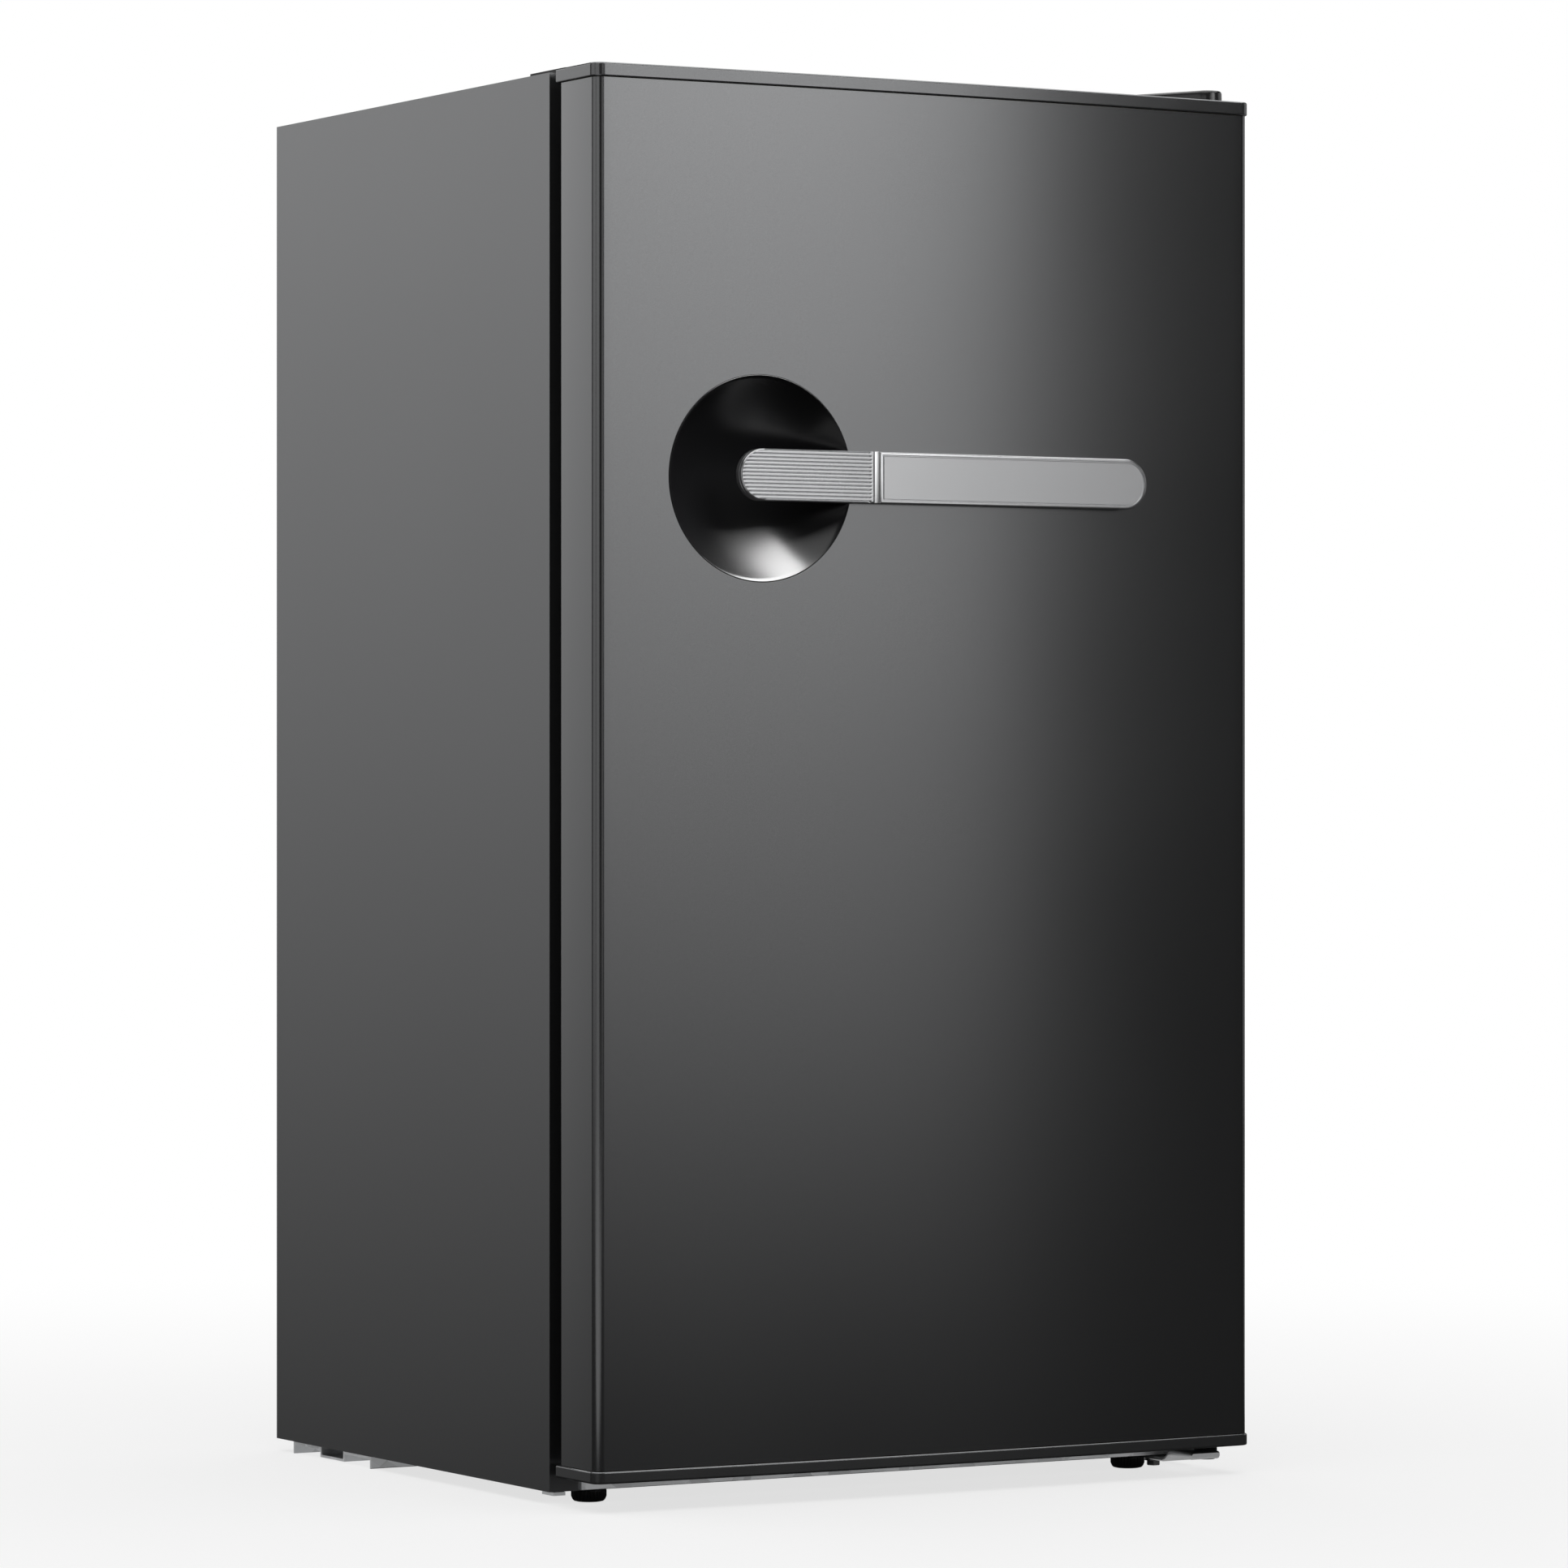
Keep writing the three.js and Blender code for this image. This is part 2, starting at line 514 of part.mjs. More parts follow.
// From the coil's lowest run down into the top of the drier.
const liquidTube = () => {
  const top = DRIER_Z + DRIER_LENGTH;
  const sweep = rounded([[-COIL_END - 10, COIL_Y, COIL_BOTTOM],
    [-COIL_END - 18, COIL_Y, COIL_BOTTOM - 10], [-COIL_END - 16, COIL_Y - 4, COIL_BOTTOM - 40],
    [DRIER_X - 4, COIL_Y - 16, NICHE_TOP - 2], [DRIER_X, DRIER_Y + 5, top + 14],
    [DRIER_X, DRIER_Y, top + 6]], 14);
  return tube([[-COIL_END, COIL_Y, COIL_BOTTOM], ...sweep, [DRIER_X, DRIER_Y, top + 0.5]], COIL_RADIUS);
};

// Thin tube from the foot of the drier back into the foam, beside the cold pipe.
const CAPILLARY_ENTRY = 244;
const capillary = () => tube(rounded([[DRIER_X, DRIER_Y, DRIER_Z - GAP], [DRIER_X, DRIER_Y, DRIER_Z - 12],
  [DRIER_X + 12, DRIER_Y + 4, DRIER_Z - 24], [DRIER_X + 26, DRIER_Y + 8, DRIER_Z],
  [DRIER_X + 30, DRIER_Y + 20, 130], [DRIER_X + 32, CABINET_DEPTH + 12, 190],
  [DRIER_X + 40, CABINET_DEPTH + 12, 230], [DRIER_X + 44, CABINET_DEPTH + 5, CAPILLARY_ENTRY],
  [DRIER_X + 44, CABINET_DEPTH + GAP, CAPILLARY_ENTRY]], 24), 1.2, 5);

// ---------------------------------------------------------------- ice compartment, thermostat and shelves
const ICE_LEFT = -178;
const ICE_RIGHT = 112;
const ICE_FLOOR = 668;
const ICE_CEILING = 776;
const ICE_FRONT = 128;
const ICE_BACK = 306;
const FLAP_AXIS_Y = 121.5;
const FLAP_AXIS_Z = ICE_FLOOR + 3;

const evaporator = () => {
  const shell = cut(
    block([ICE_LEFT, ICE_RIGHT], [ICE_FRONT, ICE_BACK], [ICE_FLOOR - 2, ICE_CEILING]),
    block([ICE_LEFT + 2, ICE_RIGHT - 2], [ICE_FRONT - 5, ICE_BACK - 2], [ICE_FLOOR, ICE_CEILING - 2]),
  );
  const hangers = [-120, 54].map((x) =>
    block([x, x + 20], [180, 240], [ICE_CEILING - 1, CABIN_CEILING - GAP]));
  return join(shell, ...hangers);
};

// White frame round the mouth, with bearings for the flap and two runners for the drip tray.
const iceFrame = () => {
  const frame = cut(
    block([ICE_LEFT - 6, ICE_RIGHT + 6], [ICE_FRONT - 12, ICE_FRONT - GAP],
      [ICE_FLOOR - 10, ICE_CEILING + 5]),
    block([ICE_LEFT + 3, ICE_RIGHT - 3], [ICE_FRONT - 20, ICE_FRONT + 5],
      [ICE_FLOOR - 3, ICE_CEILING - 3]),
    rod([ICE_LEFT - 2, ICE_RIGHT + 2], FLAP_AXIS_Y, FLAP_AXIS_Z, 2.4),
  );
  const runners = [-1, 1].flatMap((side) => {
    const wall = side < 0 ? [ICE_LEFT - 5, ICE_LEFT - 3] : [ICE_RIGHT + 3, ICE_RIGHT + 5];
    const lip = side < 0 ? [ICE_LEFT - 5, ICE_LEFT + 3] : [ICE_RIGHT - 3, ICE_RIGHT + 5];
    return [
      block(wall, [ICE_FRONT - 12, ICE_BACK - 10], [TRAY_BASE - 2 - GAP, ICE_FLOOR - 9.7]),
      block(lip, [ICE_FRONT - 12, ICE_BACK - 10], [TRAY_BASE - 2 - GAP, TRAY_BASE - GAP]),
    ];
  });
  return join(frame, ...runners);
};

const iceFlap = () => join(
  block([ICE_LEFT + 4, ICE_RIGHT - 4], [FLAP_AXIS_Y - 1.5, FLAP_AXIS_Y + 4.5],
    [FLAP_AXIS_Z - 3, ICE_CEILING - 4.5]),
  rod([ICE_LEFT + 0.5, ICE_RIGHT - 0.5], FLAP_AXIS_Y, FLAP_AXIS_Z, 2),
  block([-78, 12], [FLAP_AXIS_Y - 10, FLAP_AXIS_Y - 1], [ICE_CEILING - 16, ICE_CEILING - 12]),
);

const TRAY_BASE = 634;
const tray = () => {
  const x = [ICE_LEFT - 2, ICE_RIGHT + 2];
  return join(
    cut(
      block(x, [ICE_FRONT - 9, ICE_BACK - 14], [TRAY_BASE, TRAY_BASE + 20]),
      block([x[0] + 2, x[1] - 2], [ICE_FRONT - 7, ICE_BACK - 16], [TRAY_BASE + 2, TRAY_BASE + 30]),
    ),
    block([x[0] - 2, x[1] + 2], [ICE_FRONT - 14.5, ICE_FRONT - 12.5],
      [TRAY_BASE - 3, TRAY_BASE + 22]),
    block([x[0] + 4, x[1] - 4], [ICE_FRONT - 14, ICE_FRONT - 8], [TRAY_BASE, TRAY_BASE + 16]),
  );
};

const KNOB_Y = 96;
const KNOB_Z = 722;
const HOUSING_LEFT = 148;

const thermostatHousing = () => {
  const outline = (inset, r) => roundedBox([KNOB_Y - 30 + inset, KNOB_Y + 58 - inset],
    [KNOB_Z - 26 + inset, KNOB_Z + 26 - inset], r);
  return cut(
    sweepX(outline(0, 8), [HOUSING_LEFT, CABIN_HALF - GAP]),
    sweepX(outline(2, 6), [HOUSING_LEFT + 2, CABIN_HALF + 5]),
    rod([HOUSING_LEFT - 5, HOUSING_LEFT + 5], KNOB_Y, KNOB_Z, 5),
  );
};

const thermostat = () => join(
  block([HOUSING_LEFT + 2 + GAP, HOUSING_LEFT + 30], [KNOB_Y - 16, KNOB_Y + 34],
    [KNOB_Z - 17, KNOB_Z + 17]),
  rod([HOUSING_LEFT - 9, HOUSING_LEFT + 3], KNOB_Y, KNOB_Z, 3),
);

const knob = () => cut(
  join(
    rod([HOUSING_LEFT - 6, HOUSING_LEFT - GAP], KNOB_Y, KNOB_Z, 18, 32),
    rod([HOUSING_LEFT - 13, HOUSING_LEFT - 5], KNOB_Y, KNOB_Z, 14, 32),
    block([HOUSING_LEFT - 18, HOUSING_LEFT - 12], [KNOB_Y - 12.5, KNOB_Y + 12.5],
      [KNOB_Z - 3, KNOB_Z + 3]),
  ),
  rod([HOUSING_LEFT - 9.5, HOUSING_LEFT + 1], KNOB_Y, KNOB_Z, 3 + GAP),
);

const SHELF_FRONT = 96;
const GLASS = 4;
const shelfGlass = (z) => block([-CABIN_HALF + 2, CABIN_HALF - 2], [SHELF_FRONT, CABIN_BACK - 4],
  [z, z + GLASS]);
const shelfTrim = (z) => cut(
  sweepX(roundedBox([SHELF_FRONT - 4, SHELF_FRONT + 9], [z - 2.5, z + GLASS + 2.5], 2),
    [-CABIN_HALF + 8, CABIN_HALF - 8], 3),
  block([-CABIN_HALF, CABIN_HALF], [SHELF_FRONT - GAP, SHELF_FRONT + 20], [z - GAP, z + GLASS + GAP]),
);

// ---------------------------------------------------------------- door
// Door outline in plan: a bowed front between two rounded edges. grow moves it out, back is its rear line.
const doorOutline = (grow, back) => {
  const half = HALF + grow;
  const front = DOOR_FRONT - grow;
  const radius = DOOR_EDGE_RADIUS + grow;
  const reach = half - radius;
  const bowRadius = (reach * reach + DOOR_BOW * DOOR_BOW) / (2 * DOOR_BOW);
  const sweep = Math.asin(reach / bowRadius);
  const middle = front - DOOR_BOW + bowRadius;
  const shape = new THREE.Shape();
  shape.moveTo(0, back);
  shape.lineTo(-half, back);
  shape.absarc(-reach, front + radius, radius, Math.PI, 1.5 * Math.PI);
  shape.absarc(0, middle, bowRadius, -Math.PI / 2 - sweep, -Math.PI / 2 + sweep);
  shape.absarc(reach, front + radius, radius, -Math.PI / 2, 0);
  shape.lineTo(half, back);
  shape.closePath();
  return shape;
};

const PANEL_BASE = DOOR_BASE + CAP_HEIGHT - 1;
const PANEL_TOP = DOOR_TOP - CAP_HEIGHT;
const BACK_FLANGE = 20;
const DISH_ANGLE = Math.asin(2 * DOOR_BOW * DISH_X / (HALF * HALF));
const DISH_FACE = DOOR_FRONT - DOOR_BOW * (1 - (DISH_X / HALF) ** 2);

// A turned shape about the dish's axis, its profile given as radius and depth behind the door face.
const dishLathe = (profile, sides = 40) => solid(new THREE.LatheGeometry(
  profile.map(([r, depth]) => new THREE.Vector2(r, depth)), sides))
  .rotate(0, 0, THREE.MathUtils.radToDeg(DISH_ANGLE))
  .translate(DISH_X, DISH_FACE, DISH_Z);

const bowl = (radius, depth, steps = 5) => {
  const sphere = (radius * radius + depth * depth) / (2 * depth);
  return Array.from({ length: steps + 1 }, (_, i) => {
    const r = radius * (1 - i / steps);
    return [r, depth - sphere + Math.sqrt(sphere * sphere - r * r)];
  });
};

// The dish's back: a deeper bowl whose rim stands further behind the door face than its middle does.
const DISH_SKIRT = 6;
const dishBack = (grow) => bowl(DISH_RADIUS + grow, DISH_DEPTH + 2 + grow)
  .map(([r, depth]) => [r, depth + DISH_SKIRT * r / DISH_RADIUS]);

const dishHole = (grow) => dishLathe([[0, -30], [DISH_RADIUS + grow, -30],
  [DISH_RADIUS + grow, DISH_SKIRT], ...dishBack(grow).slice(1)]);

const doorPanel = () => cut(
  raise(doorOutline(0, DOOR_BACK), [PANEL_BASE + GAP, PANEL_TOP - GAP], 5),
  raise(doorOutline(-SHEET, DOOR_BACK - SHEET), [0, 900], 5),
  block(across(BACK_FLANGE), [DOOR_BACK - 3, 5], [0, 900]),
  dishLathe([[0, -30], [DISH_RADIUS + GAP, -30], [DISH_RADIUS + GAP, 9], [0, 9]]),
);

// The caps reach a little further back than the panel, over the edge of the gasket's gap.
const doorCap = (z, pocket) => cut(
  raise(doorOutline(CAP_OVERHANG, DOOR_BACK + CAP_REAR_REACH), z, 5),
  raise(doorOutline(-2.5, DOOR_BACK - 2), pocket, 5),
  post(PIN_X, PIN_Y, [0, 900], BUSH_RADIUS + GAP),
);

const BUSH_RADIUS = 7;
const bush = (z0, z1, flangeBase) => cut(
  join(
    post(PIN_X, PIN_Y, [z0, z1], BUSH_RADIUS),
    post(PIN_X, PIN_Y, [flangeBase, flangeBase + 2], BUSH_RADIUS + 2.5),
  ),
  post(PIN_X, PIN_Y, [0, 900], PIN_RADIUS + 0.1),
);

const DIKE_HALF = 176;
const DIKE_WIDTH = 18;
const DIKE_BASE = CABIN_FLOOR + 11;
const DIKE_TOP = CABIN_CEILING - 11;
const DIKE_REACH = 12;
const LINER_WALL = 2.5;

// A rectangular ring standing on the door's inner face.
const ring = (half, width, [z0, z1], y) => cut(
  block([-half, half], y, [z0, z1]),
  block([-half + width, half - width], [y[0] - 1, y[1] + 1], [z0 + width, z1 - width]),
);

const BINS = {
  upper_bin: { z: 512, height: 62, reach: 64 },
  middle_bin: { z: 318, height: 62, reach: 64 },
  bottle_rack: { z: 90, height: 92, reach: 84 },
};
const BIN_HALF = DIKE_HALF - DIKE_WIDTH - 1.5;
const BIN_BACK = DOOR_BACK + 1;

const doorLiner = () => {
  const plate = block(across(BACK_FLANGE + GAP), [DOOR_BACK - LINER_WALL, DOOR_BACK],
    [DOOR_BASE + 8, DOOR_TOP - 8]);
  const dike = ring(DIKE_HALF, DIKE_WIDTH, [DIKE_BASE, DIKE_TOP], [DOOR_BACK - 1, DIKE_REACH]);
  const hollow = ring(DIKE_HALF - LINER_WALL, DIKE_WIDTH - 2 * LINER_WALL,
    [DIKE_BASE + LINER_WALL, DIKE_TOP - LINER_WALL], [DOOR_BACK - 5, DIKE_REACH - LINER_WALL]);
  const lugs = Object.values(BINS).flatMap(({ z }) => [-1, 1].map((side) => {
    const wall = side * (DIKE_HALF - DIKE_WIDTH + 1);
    const tip = side * (BIN_HALF - 5);
    return block([Math.min(wall, tip), Math.max(wall, tip)], [DOOR_BACK - 1, DIKE_REACH - 4],
      [z - GAP - 10, z - GAP]);
  }));
  return join(cut(join(plate, dike), hollow), ...lugs);
};

const doorFoam = () => {
  const core = cut(
    raise(doorOutline(-3.5, DOOR_BACK - LINER_WALL - GAP), [DOOR_BASE + 3, DOOR_TOP - 3], 5),
    dishHole(GAP + 0.5),
    post(PIN_X, PIN_Y, [0, DOOR_BASE + 20], BUSH_RADIUS + 4),
    post(PIN_X, PIN_Y, [DOOR_TOP - 20, 900], BUSH_RADIUS + 4),
  );
  const filled = ring(DIKE_HALF - LINER_WALL - GAP, DIKE_WIDTH - 2 * LINER_WALL - 2 * GAP,
    [DIKE_BASE + LINER_WALL + GAP, DIKE_TOP - LINER_WALL - GAP],
    [DOOR_BACK - LINER_WALL - 2, DIKE_REACH - LINER_WALL - GAP]);
  return join(core, filled);
};

const GASKET_INSET = 16;
const GASKET_WIDTH = 18;
const gasket = () => ring(HALF - GASKET_INSET, GASKET_WIDTH,
  [PANEL_BASE + 1.5, CABINET_TOP - GASKET_INSET], [DOOR_BACK + GAP, -GAP]);

// Open-topped storage bin; its ends rest on the liner's lugs.
const bin = ({ z, height, reach }) => {
  const wall = 2;
  const outline = (inset) => roundedBox([-BIN_HALF + inset, BIN_HALF - inset],
    [BIN_BACK + inset, reach - inset], 12 - inset);
  const top = z + height;
  return cut(
    raise(outline(0), [z, top], 2),
    raise(outline(wall), [z + wall, top + 5], 2),
    block([-BIN_HALF - 5, BIN_HALF + 5], [reach - 8, reach + 5], [top - 16, top + 5]),
  );
};

// ---------------------------------------------------------------- handle
const stadium = (left, right, halfHeight, z) => {
  const shape = new THREE.Shape();
  shape.absarc(left + halfHeight, z, halfHeight, Math.PI / 2, 1.5 * Math.PI);
  shape.absarc(right - halfHeight, z, halfHeight, -Math.PI / 2, Math.PI / 2);
  return shape;
};
const BAR_INSERT = 2.5;       // thickness of the pieces let into the bar's face

const handleDish = () => {
  const face = bowl(DISH_RADIUS - 0.6, DISH_DEPTH);
  return dishLathe([...face.reverse(), [DISH_RADIUS, 0.2], ...dishBack(0)]);
};

const insideBar = (x0, x1) => block([x0, x1], [BAR_FRONT - 5, 0], [BAR_Z - 20, BAR_Z + 20]);

// The bar's back follows the bowed door to the right of the dish.
const handleBar = () => cut(
  sweepY(stadium(BAR_LEFT, BAR_RIGHT, BAR_HEIGHT / 2, BAR_Z), [BAR_FRONT + BAR_INSERT + GAP, DOOR_FRONT], 6),
  raise(doorOutline(GAP, DOOR_BACK), [0, 900], 5),
  block([BAR_LEFT - 5, DISH_X + DISH_RADIUS + 3], [BAR_BACK, DOOR_BACK], [BAR_Z - 20, BAR_Z + 20]),
);

const handleInsert = (x0, x1) => sweepY(stadium(BAR_LEFT, BAR_RIGHT, BAR_HEIGHT / 2, BAR_Z),
  [BAR_FRONT, BAR_FRONT + BAR_INSERT], 6).intersect(insideBar(x0, x1));

const RIBS = 15;
const handleGrip = () => {
  const pitch = BAR_HEIGHT / RIBS;
  const grooves = Array.from({ length: RIBS - 1 }, (_, i) => {
    const z = BAR_Z - BAR_HEIGHT / 2 + (i + 1) * pitch;
    return sweepX(polygon([BAR_FRONT - 0.1, z - 0.55], [BAR_FRONT - 0.1, z + 0.55], [BAR_FRONT + 0.9, z]),
      [BAR_LEFT - 5, DIVIDER_LEFT - 4]);
  });
  return cut(handleInsert(BAR_LEFT - 5, DIVIDER_LEFT - GAP), ...grooves);
};

const handleDivider = () => block([DIVIDER_LEFT, DIVIDER_RIGHT], [BAR_FRONT, BAR_FRONT + BAR_INSERT],
  [BAR_Z - BAR_HEIGHT / 2, BAR_Z + BAR_HEIGHT / 2]);

const handlePlate = () => cut(
  handleInsert(DIVIDER_RIGHT + GAP, BAR_RIGHT + 5),
  sweepY(stadium(DIVIDER_RIGHT - 20, BAR_RIGHT - 2, BAR_HEIGHT / 2 - 2, BAR_Z),
    [BAR_FRONT - 1, BAR_FRONT + 0.6], 6).intersect(insideBar(DIVIDER_RIGHT + 2, BAR_RIGHT)),
);

// ---------------------------------------------------------------- assembly
const addCabinet = () => {
  add('outer_shell', outerShell(), FINISH.darkSteel);
  add('back_panel', backPanel(), FINISH.blackEnamel);
  add('bottom_panel', bottomPanel(), FINISH.zinc);
  add('niche_panel', nichePanel(), FINISH.zinc);
  add('cabinet_foam', cabinetFoam(), FINISH.foam);
  add('inner_liner', innerLiner(), FINISH.whiteLiner);
  add('front_rail', frontRail(), FINISH.zinc);
  add('corner_tab', cornerTab(), FINISH.zinc);
  add('top_hinge_bracket', topHinge(), FINISH.zinc);
  add('top_hinge_pin', topHingePin(), FINISH.zinc);
  add('top_hinge_cover', topHingeCover(), FINISH.blackPlastic);
  add('bottom_hinge_bracket', bottomHinge(), FINISH.zinc);
  add('bottom_hinge_pin', bottomHingePin(), FINISH.zinc);
  add('spare_hinge_cover', spareHingeCover(), FINISH.blackPlastic);
  add('left_foot', foot(FEET_X[0]), FINISH.blackPlastic);
  add('right_foot', foot(FEET_X[1]), FINISH.blackPlastic);
  add('foot_nut_bar', nutBar(), FINISH.zinc);
};

const addCoolingCircuit = () => {
  add('compressor_base', compressorBase(), FINISH.zinc);
  add('compressor', compressor(), FINISH.blackEnamel);
  GROMMETS.forEach((place, i) => add(`compressor_grommet_${i + 1}`, grommet(place), FINISH.rubber));
  add('relay_cover', relayCover(), FINISH.blackPlastic);
  add('evaporation_tray', evaporationTray(), FINISH.blackPlastic);
  add('condenser_coil', tube(coilPoints(), COIL_RADIUS), FINISH.blackEnamel);
  add('condenser_strap_left', condenserStrap(-120), FINISH.blackEnamel);
  add('condenser_strap_right', condenserStrap(120), FINISH.blackEnamel);
  add('discharge_tube', dischargeTube(), FINISH.copper);
  add('suction_tube', suctionTube(), FINISH.copper);
  add('filter_drier', drier(), FINISH.copper);
  add('liquid_tube', liquidTube(), FINISH.copper);
  add('capillary_tube', capillary(), FINISH.copper);
  add('evaporator', evaporator(), FINISH.aluminium);
};

const addCabin = () => {
  add('ice_frame', iceFrame(), FINISH.whitePlastic);
  add('ice_flap', iceFlap(), FINISH.whitePlastic);
  add('drip_tray', tray(), FINISH.clearPlastic);
  add('thermostat_housing', thermostatHousing(), FINISH.whitePlastic);
  add('thermostat', thermostat(), FINISH.zinc);
  add('thermostat_knob', knob(), FINISH.whitePlastic);
  ['lower', 'upper'].forEach((level, i) => {
    add(`${level}_shelf_glass`, shelfGlass(SHELF_LEVELS[i]), FINISH.glass);
    add(`${level}_shelf_trim`, shelfTrim(SHELF_LEVELS[i]), FINISH.whitePlastic);
  });
};

const addDoor = () => {
  add('door_panel', doorPanel(), FINISH.darkSteel);
  add('door_top_cap', doorCap([PANEL_TOP, DOOR_TOP], [PANEL_TOP - 1, DOOR_TOP - 2.5]),
    FINISH.darkSteel);
  add('door_bottom_cap', doorCap([DOOR_BASE, PANEL_BASE], [DOOR_BASE + 2.5, PANEL_BASE + 1]),
    FINISH.darkSteel);
  add('door_foam', doorFoam(), FINISH.foam);
  add('door_liner', doorLiner(), FINISH.whiteLiner);
  add('door_gasket', gasket(), FINISH.gasket);
  add('top_hinge_bush', bush(DOOR_TOP - 17, DOOR_TOP, DOOR_TOP - 5), FINISH.whitePlastic);
  add('bottom_hinge_bush', bush(DOOR_BASE, DOOR_BASE + 17, DOOR_BASE + 3), FINISH.whitePlastic);
  Object.entries(BINS).forEach(([name, size]) => add(name, bin(size), FINISH.clearPlastic));
  add('handle_dish', handleDish(), FINISH.glossBlack);
  add('handle_bar', handleBar(), FINISH.silver);
  add('handle_grip', handleGrip(), FINISH.silver);
  add('handle_divider', handleDivider(), FINISH.chrome);
  add('handle_plate', handlePlate(), FINISH.silver);
};

addCabinet();
addCoolingCircuit();
addCabin();
addDoor();

const footprint = new THREE.Box3().setFromObject(group);
group.position.y = -(footprint.min.y + footprint.max.y) / 2;

export default group;
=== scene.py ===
"""Mini fridge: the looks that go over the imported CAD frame. Lengths are metres in the CAD's own frame."""
import json
import math

import bmesh
import bpy
from mathutils import Matrix, Vector


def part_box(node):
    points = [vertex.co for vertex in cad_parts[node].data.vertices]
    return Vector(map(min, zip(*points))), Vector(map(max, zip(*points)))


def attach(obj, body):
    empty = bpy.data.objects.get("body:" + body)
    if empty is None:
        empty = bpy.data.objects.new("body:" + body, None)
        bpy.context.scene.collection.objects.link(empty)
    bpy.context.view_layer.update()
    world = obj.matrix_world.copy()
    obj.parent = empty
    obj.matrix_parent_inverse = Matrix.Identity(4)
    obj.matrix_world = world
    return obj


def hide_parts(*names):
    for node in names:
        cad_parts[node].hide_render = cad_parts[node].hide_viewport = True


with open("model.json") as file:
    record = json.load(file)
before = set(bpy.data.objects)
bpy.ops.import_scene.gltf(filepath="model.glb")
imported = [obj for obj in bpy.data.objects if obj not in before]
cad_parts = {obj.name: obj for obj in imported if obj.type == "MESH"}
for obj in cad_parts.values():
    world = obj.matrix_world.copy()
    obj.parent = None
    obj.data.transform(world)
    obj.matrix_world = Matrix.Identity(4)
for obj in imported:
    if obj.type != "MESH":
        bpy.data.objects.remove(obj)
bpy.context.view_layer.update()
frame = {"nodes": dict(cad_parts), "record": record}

nodes = frame["nodes"]
MM = 0.001

# ---------------------------------------------------------------- places read from the frame
shell_low, shell_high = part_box("outer_shell")
panel_low, panel_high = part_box("door_panel")
bar_low, bar_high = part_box("handle_bar")
grip_low, grip_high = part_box("handle_grip")
plate_low, plate_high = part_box("handle_plate")
divider_low, divider_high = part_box("handle_divider")
dish_low, dish_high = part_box("handle_dish")
gasket_low, gasket_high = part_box("door_gasket")
coil_low, coil_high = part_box("condenser_coil")

HALF_WIDTH = shell_high.x
CABINET_FRONT = shell_low.y
DOOR_BACK = panel_high.y
DOOR_BOW = 5.4 * MM
DOOR_CHORD = panel_low.y + DOOR_BOW        # the door's front plane at its side edges
DOOR_EDGE_RADIUS = 5.5 * MM
BAR_MIDDLE_Z = (bar_low.z + bar_high.z) / 2
BAR_HALF = (bar_high.z - bar_low.z) / 2
DISH_X = (dish_low.x + dish_high.x) / 2
DISH_Z = (dish_low.z + dish_high.z) / 2
DISH_RADIUS = 59.4 * MM
DISH_DEPTH = 22 * MM
DISH_TURN = math.asin(2 * DOOR_BOW * DISH_X / HALF_WIDTH ** 2)


def door_face(x, grow=0.0):
    """y of the door's bowed front at x, grow outside the panel."""
    reach = HALF_WIDTH + grow - (DOOR_EDGE_RADIUS + grow)
    radius = (reach ** 2 + DOOR_BOW ** 2) / (2 * DOOR_BOW)
    return DOOR_CHORD - grow - DOOR_BOW + radius - math.sqrt(radius ** 2 - min(abs(x), reach) ** 2)


# ---------------------------------------------------------------- mesh tools
def smooth(obj, angle=35):
    """Smooth shading except over edges sharper than angle degrees."""
    for polygon in obj.data.polygons:
        polygon.use_smooth = True
    obj.data.set_sharp_from_angle(angle=math.radians(angle))


def piece(name, bm, body, material, replaces=(), angle=35):
    """Turns a bmesh into a named piece that rides on a CAD body."""
    bmesh.ops.recalc_face_normals(bm, faces=bm.faces)
    mesh = bpy.data.meshes.new(name)
    bm.to_mesh(mesh)
    bm.free()
    obj = bpy.data.objects.new(name, mesh)
    bpy.context.scene.collection.objects.link(obj)
    mesh.materials.append(material)
    smooth(obj, angle)
    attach(obj, body)
    if replaces:
        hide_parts(*replaces)
    return obj


def add_loft(bm, rings, closed=True, caps=True):
    """Joins rings of points, all of one length, with quads, and caps the first and last."""
    made = [[bm.verts.new(p) for p in ring] for ring in rings]
    count = len(made[0])
    for near, far in zip(made, made[1:]):
        for i in range(count if closed else count - 1):
            j = (i + 1) % count
            bm.faces.new((near[i], near[j], far[j], far[i]))
    if caps:
        bm.faces.new(list(reversed(made[0])))
        bm.faces.new(made[-1])
    return made


def loft(*args, **kwargs):
    bm = bmesh.new()
    add_loft(bm, *args, **kwargs)
    return bm


def arc(centre, radius, start, end, steps):
    """Points of an arc in a plane, angles in degrees, both ends included."""
    return [(centre[0] + radius * math.cos(math.radians(start + (end - start) * i / steps)),
             centre[1] + radius * math.sin(math.radians(start + (end - start) * i / steps)))
            for i in range(steps + 1)]


def rounded_rectangle(low, high, radius, steps=6):
    """Points of a rounded rectangle in a plane, counter-clockwise."""
    corners = (((high[0] - radius, high[1] - radius), 0), ((low[0] + radius, high[1] - radius), 90),
               ((low[0] + radius, low[1] + radius), 180), ((high[0] - radius, low[1] + radius), 270))
    return [p for centre, start in corners for p in arc(centre, radius, start, start + 90, steps)]


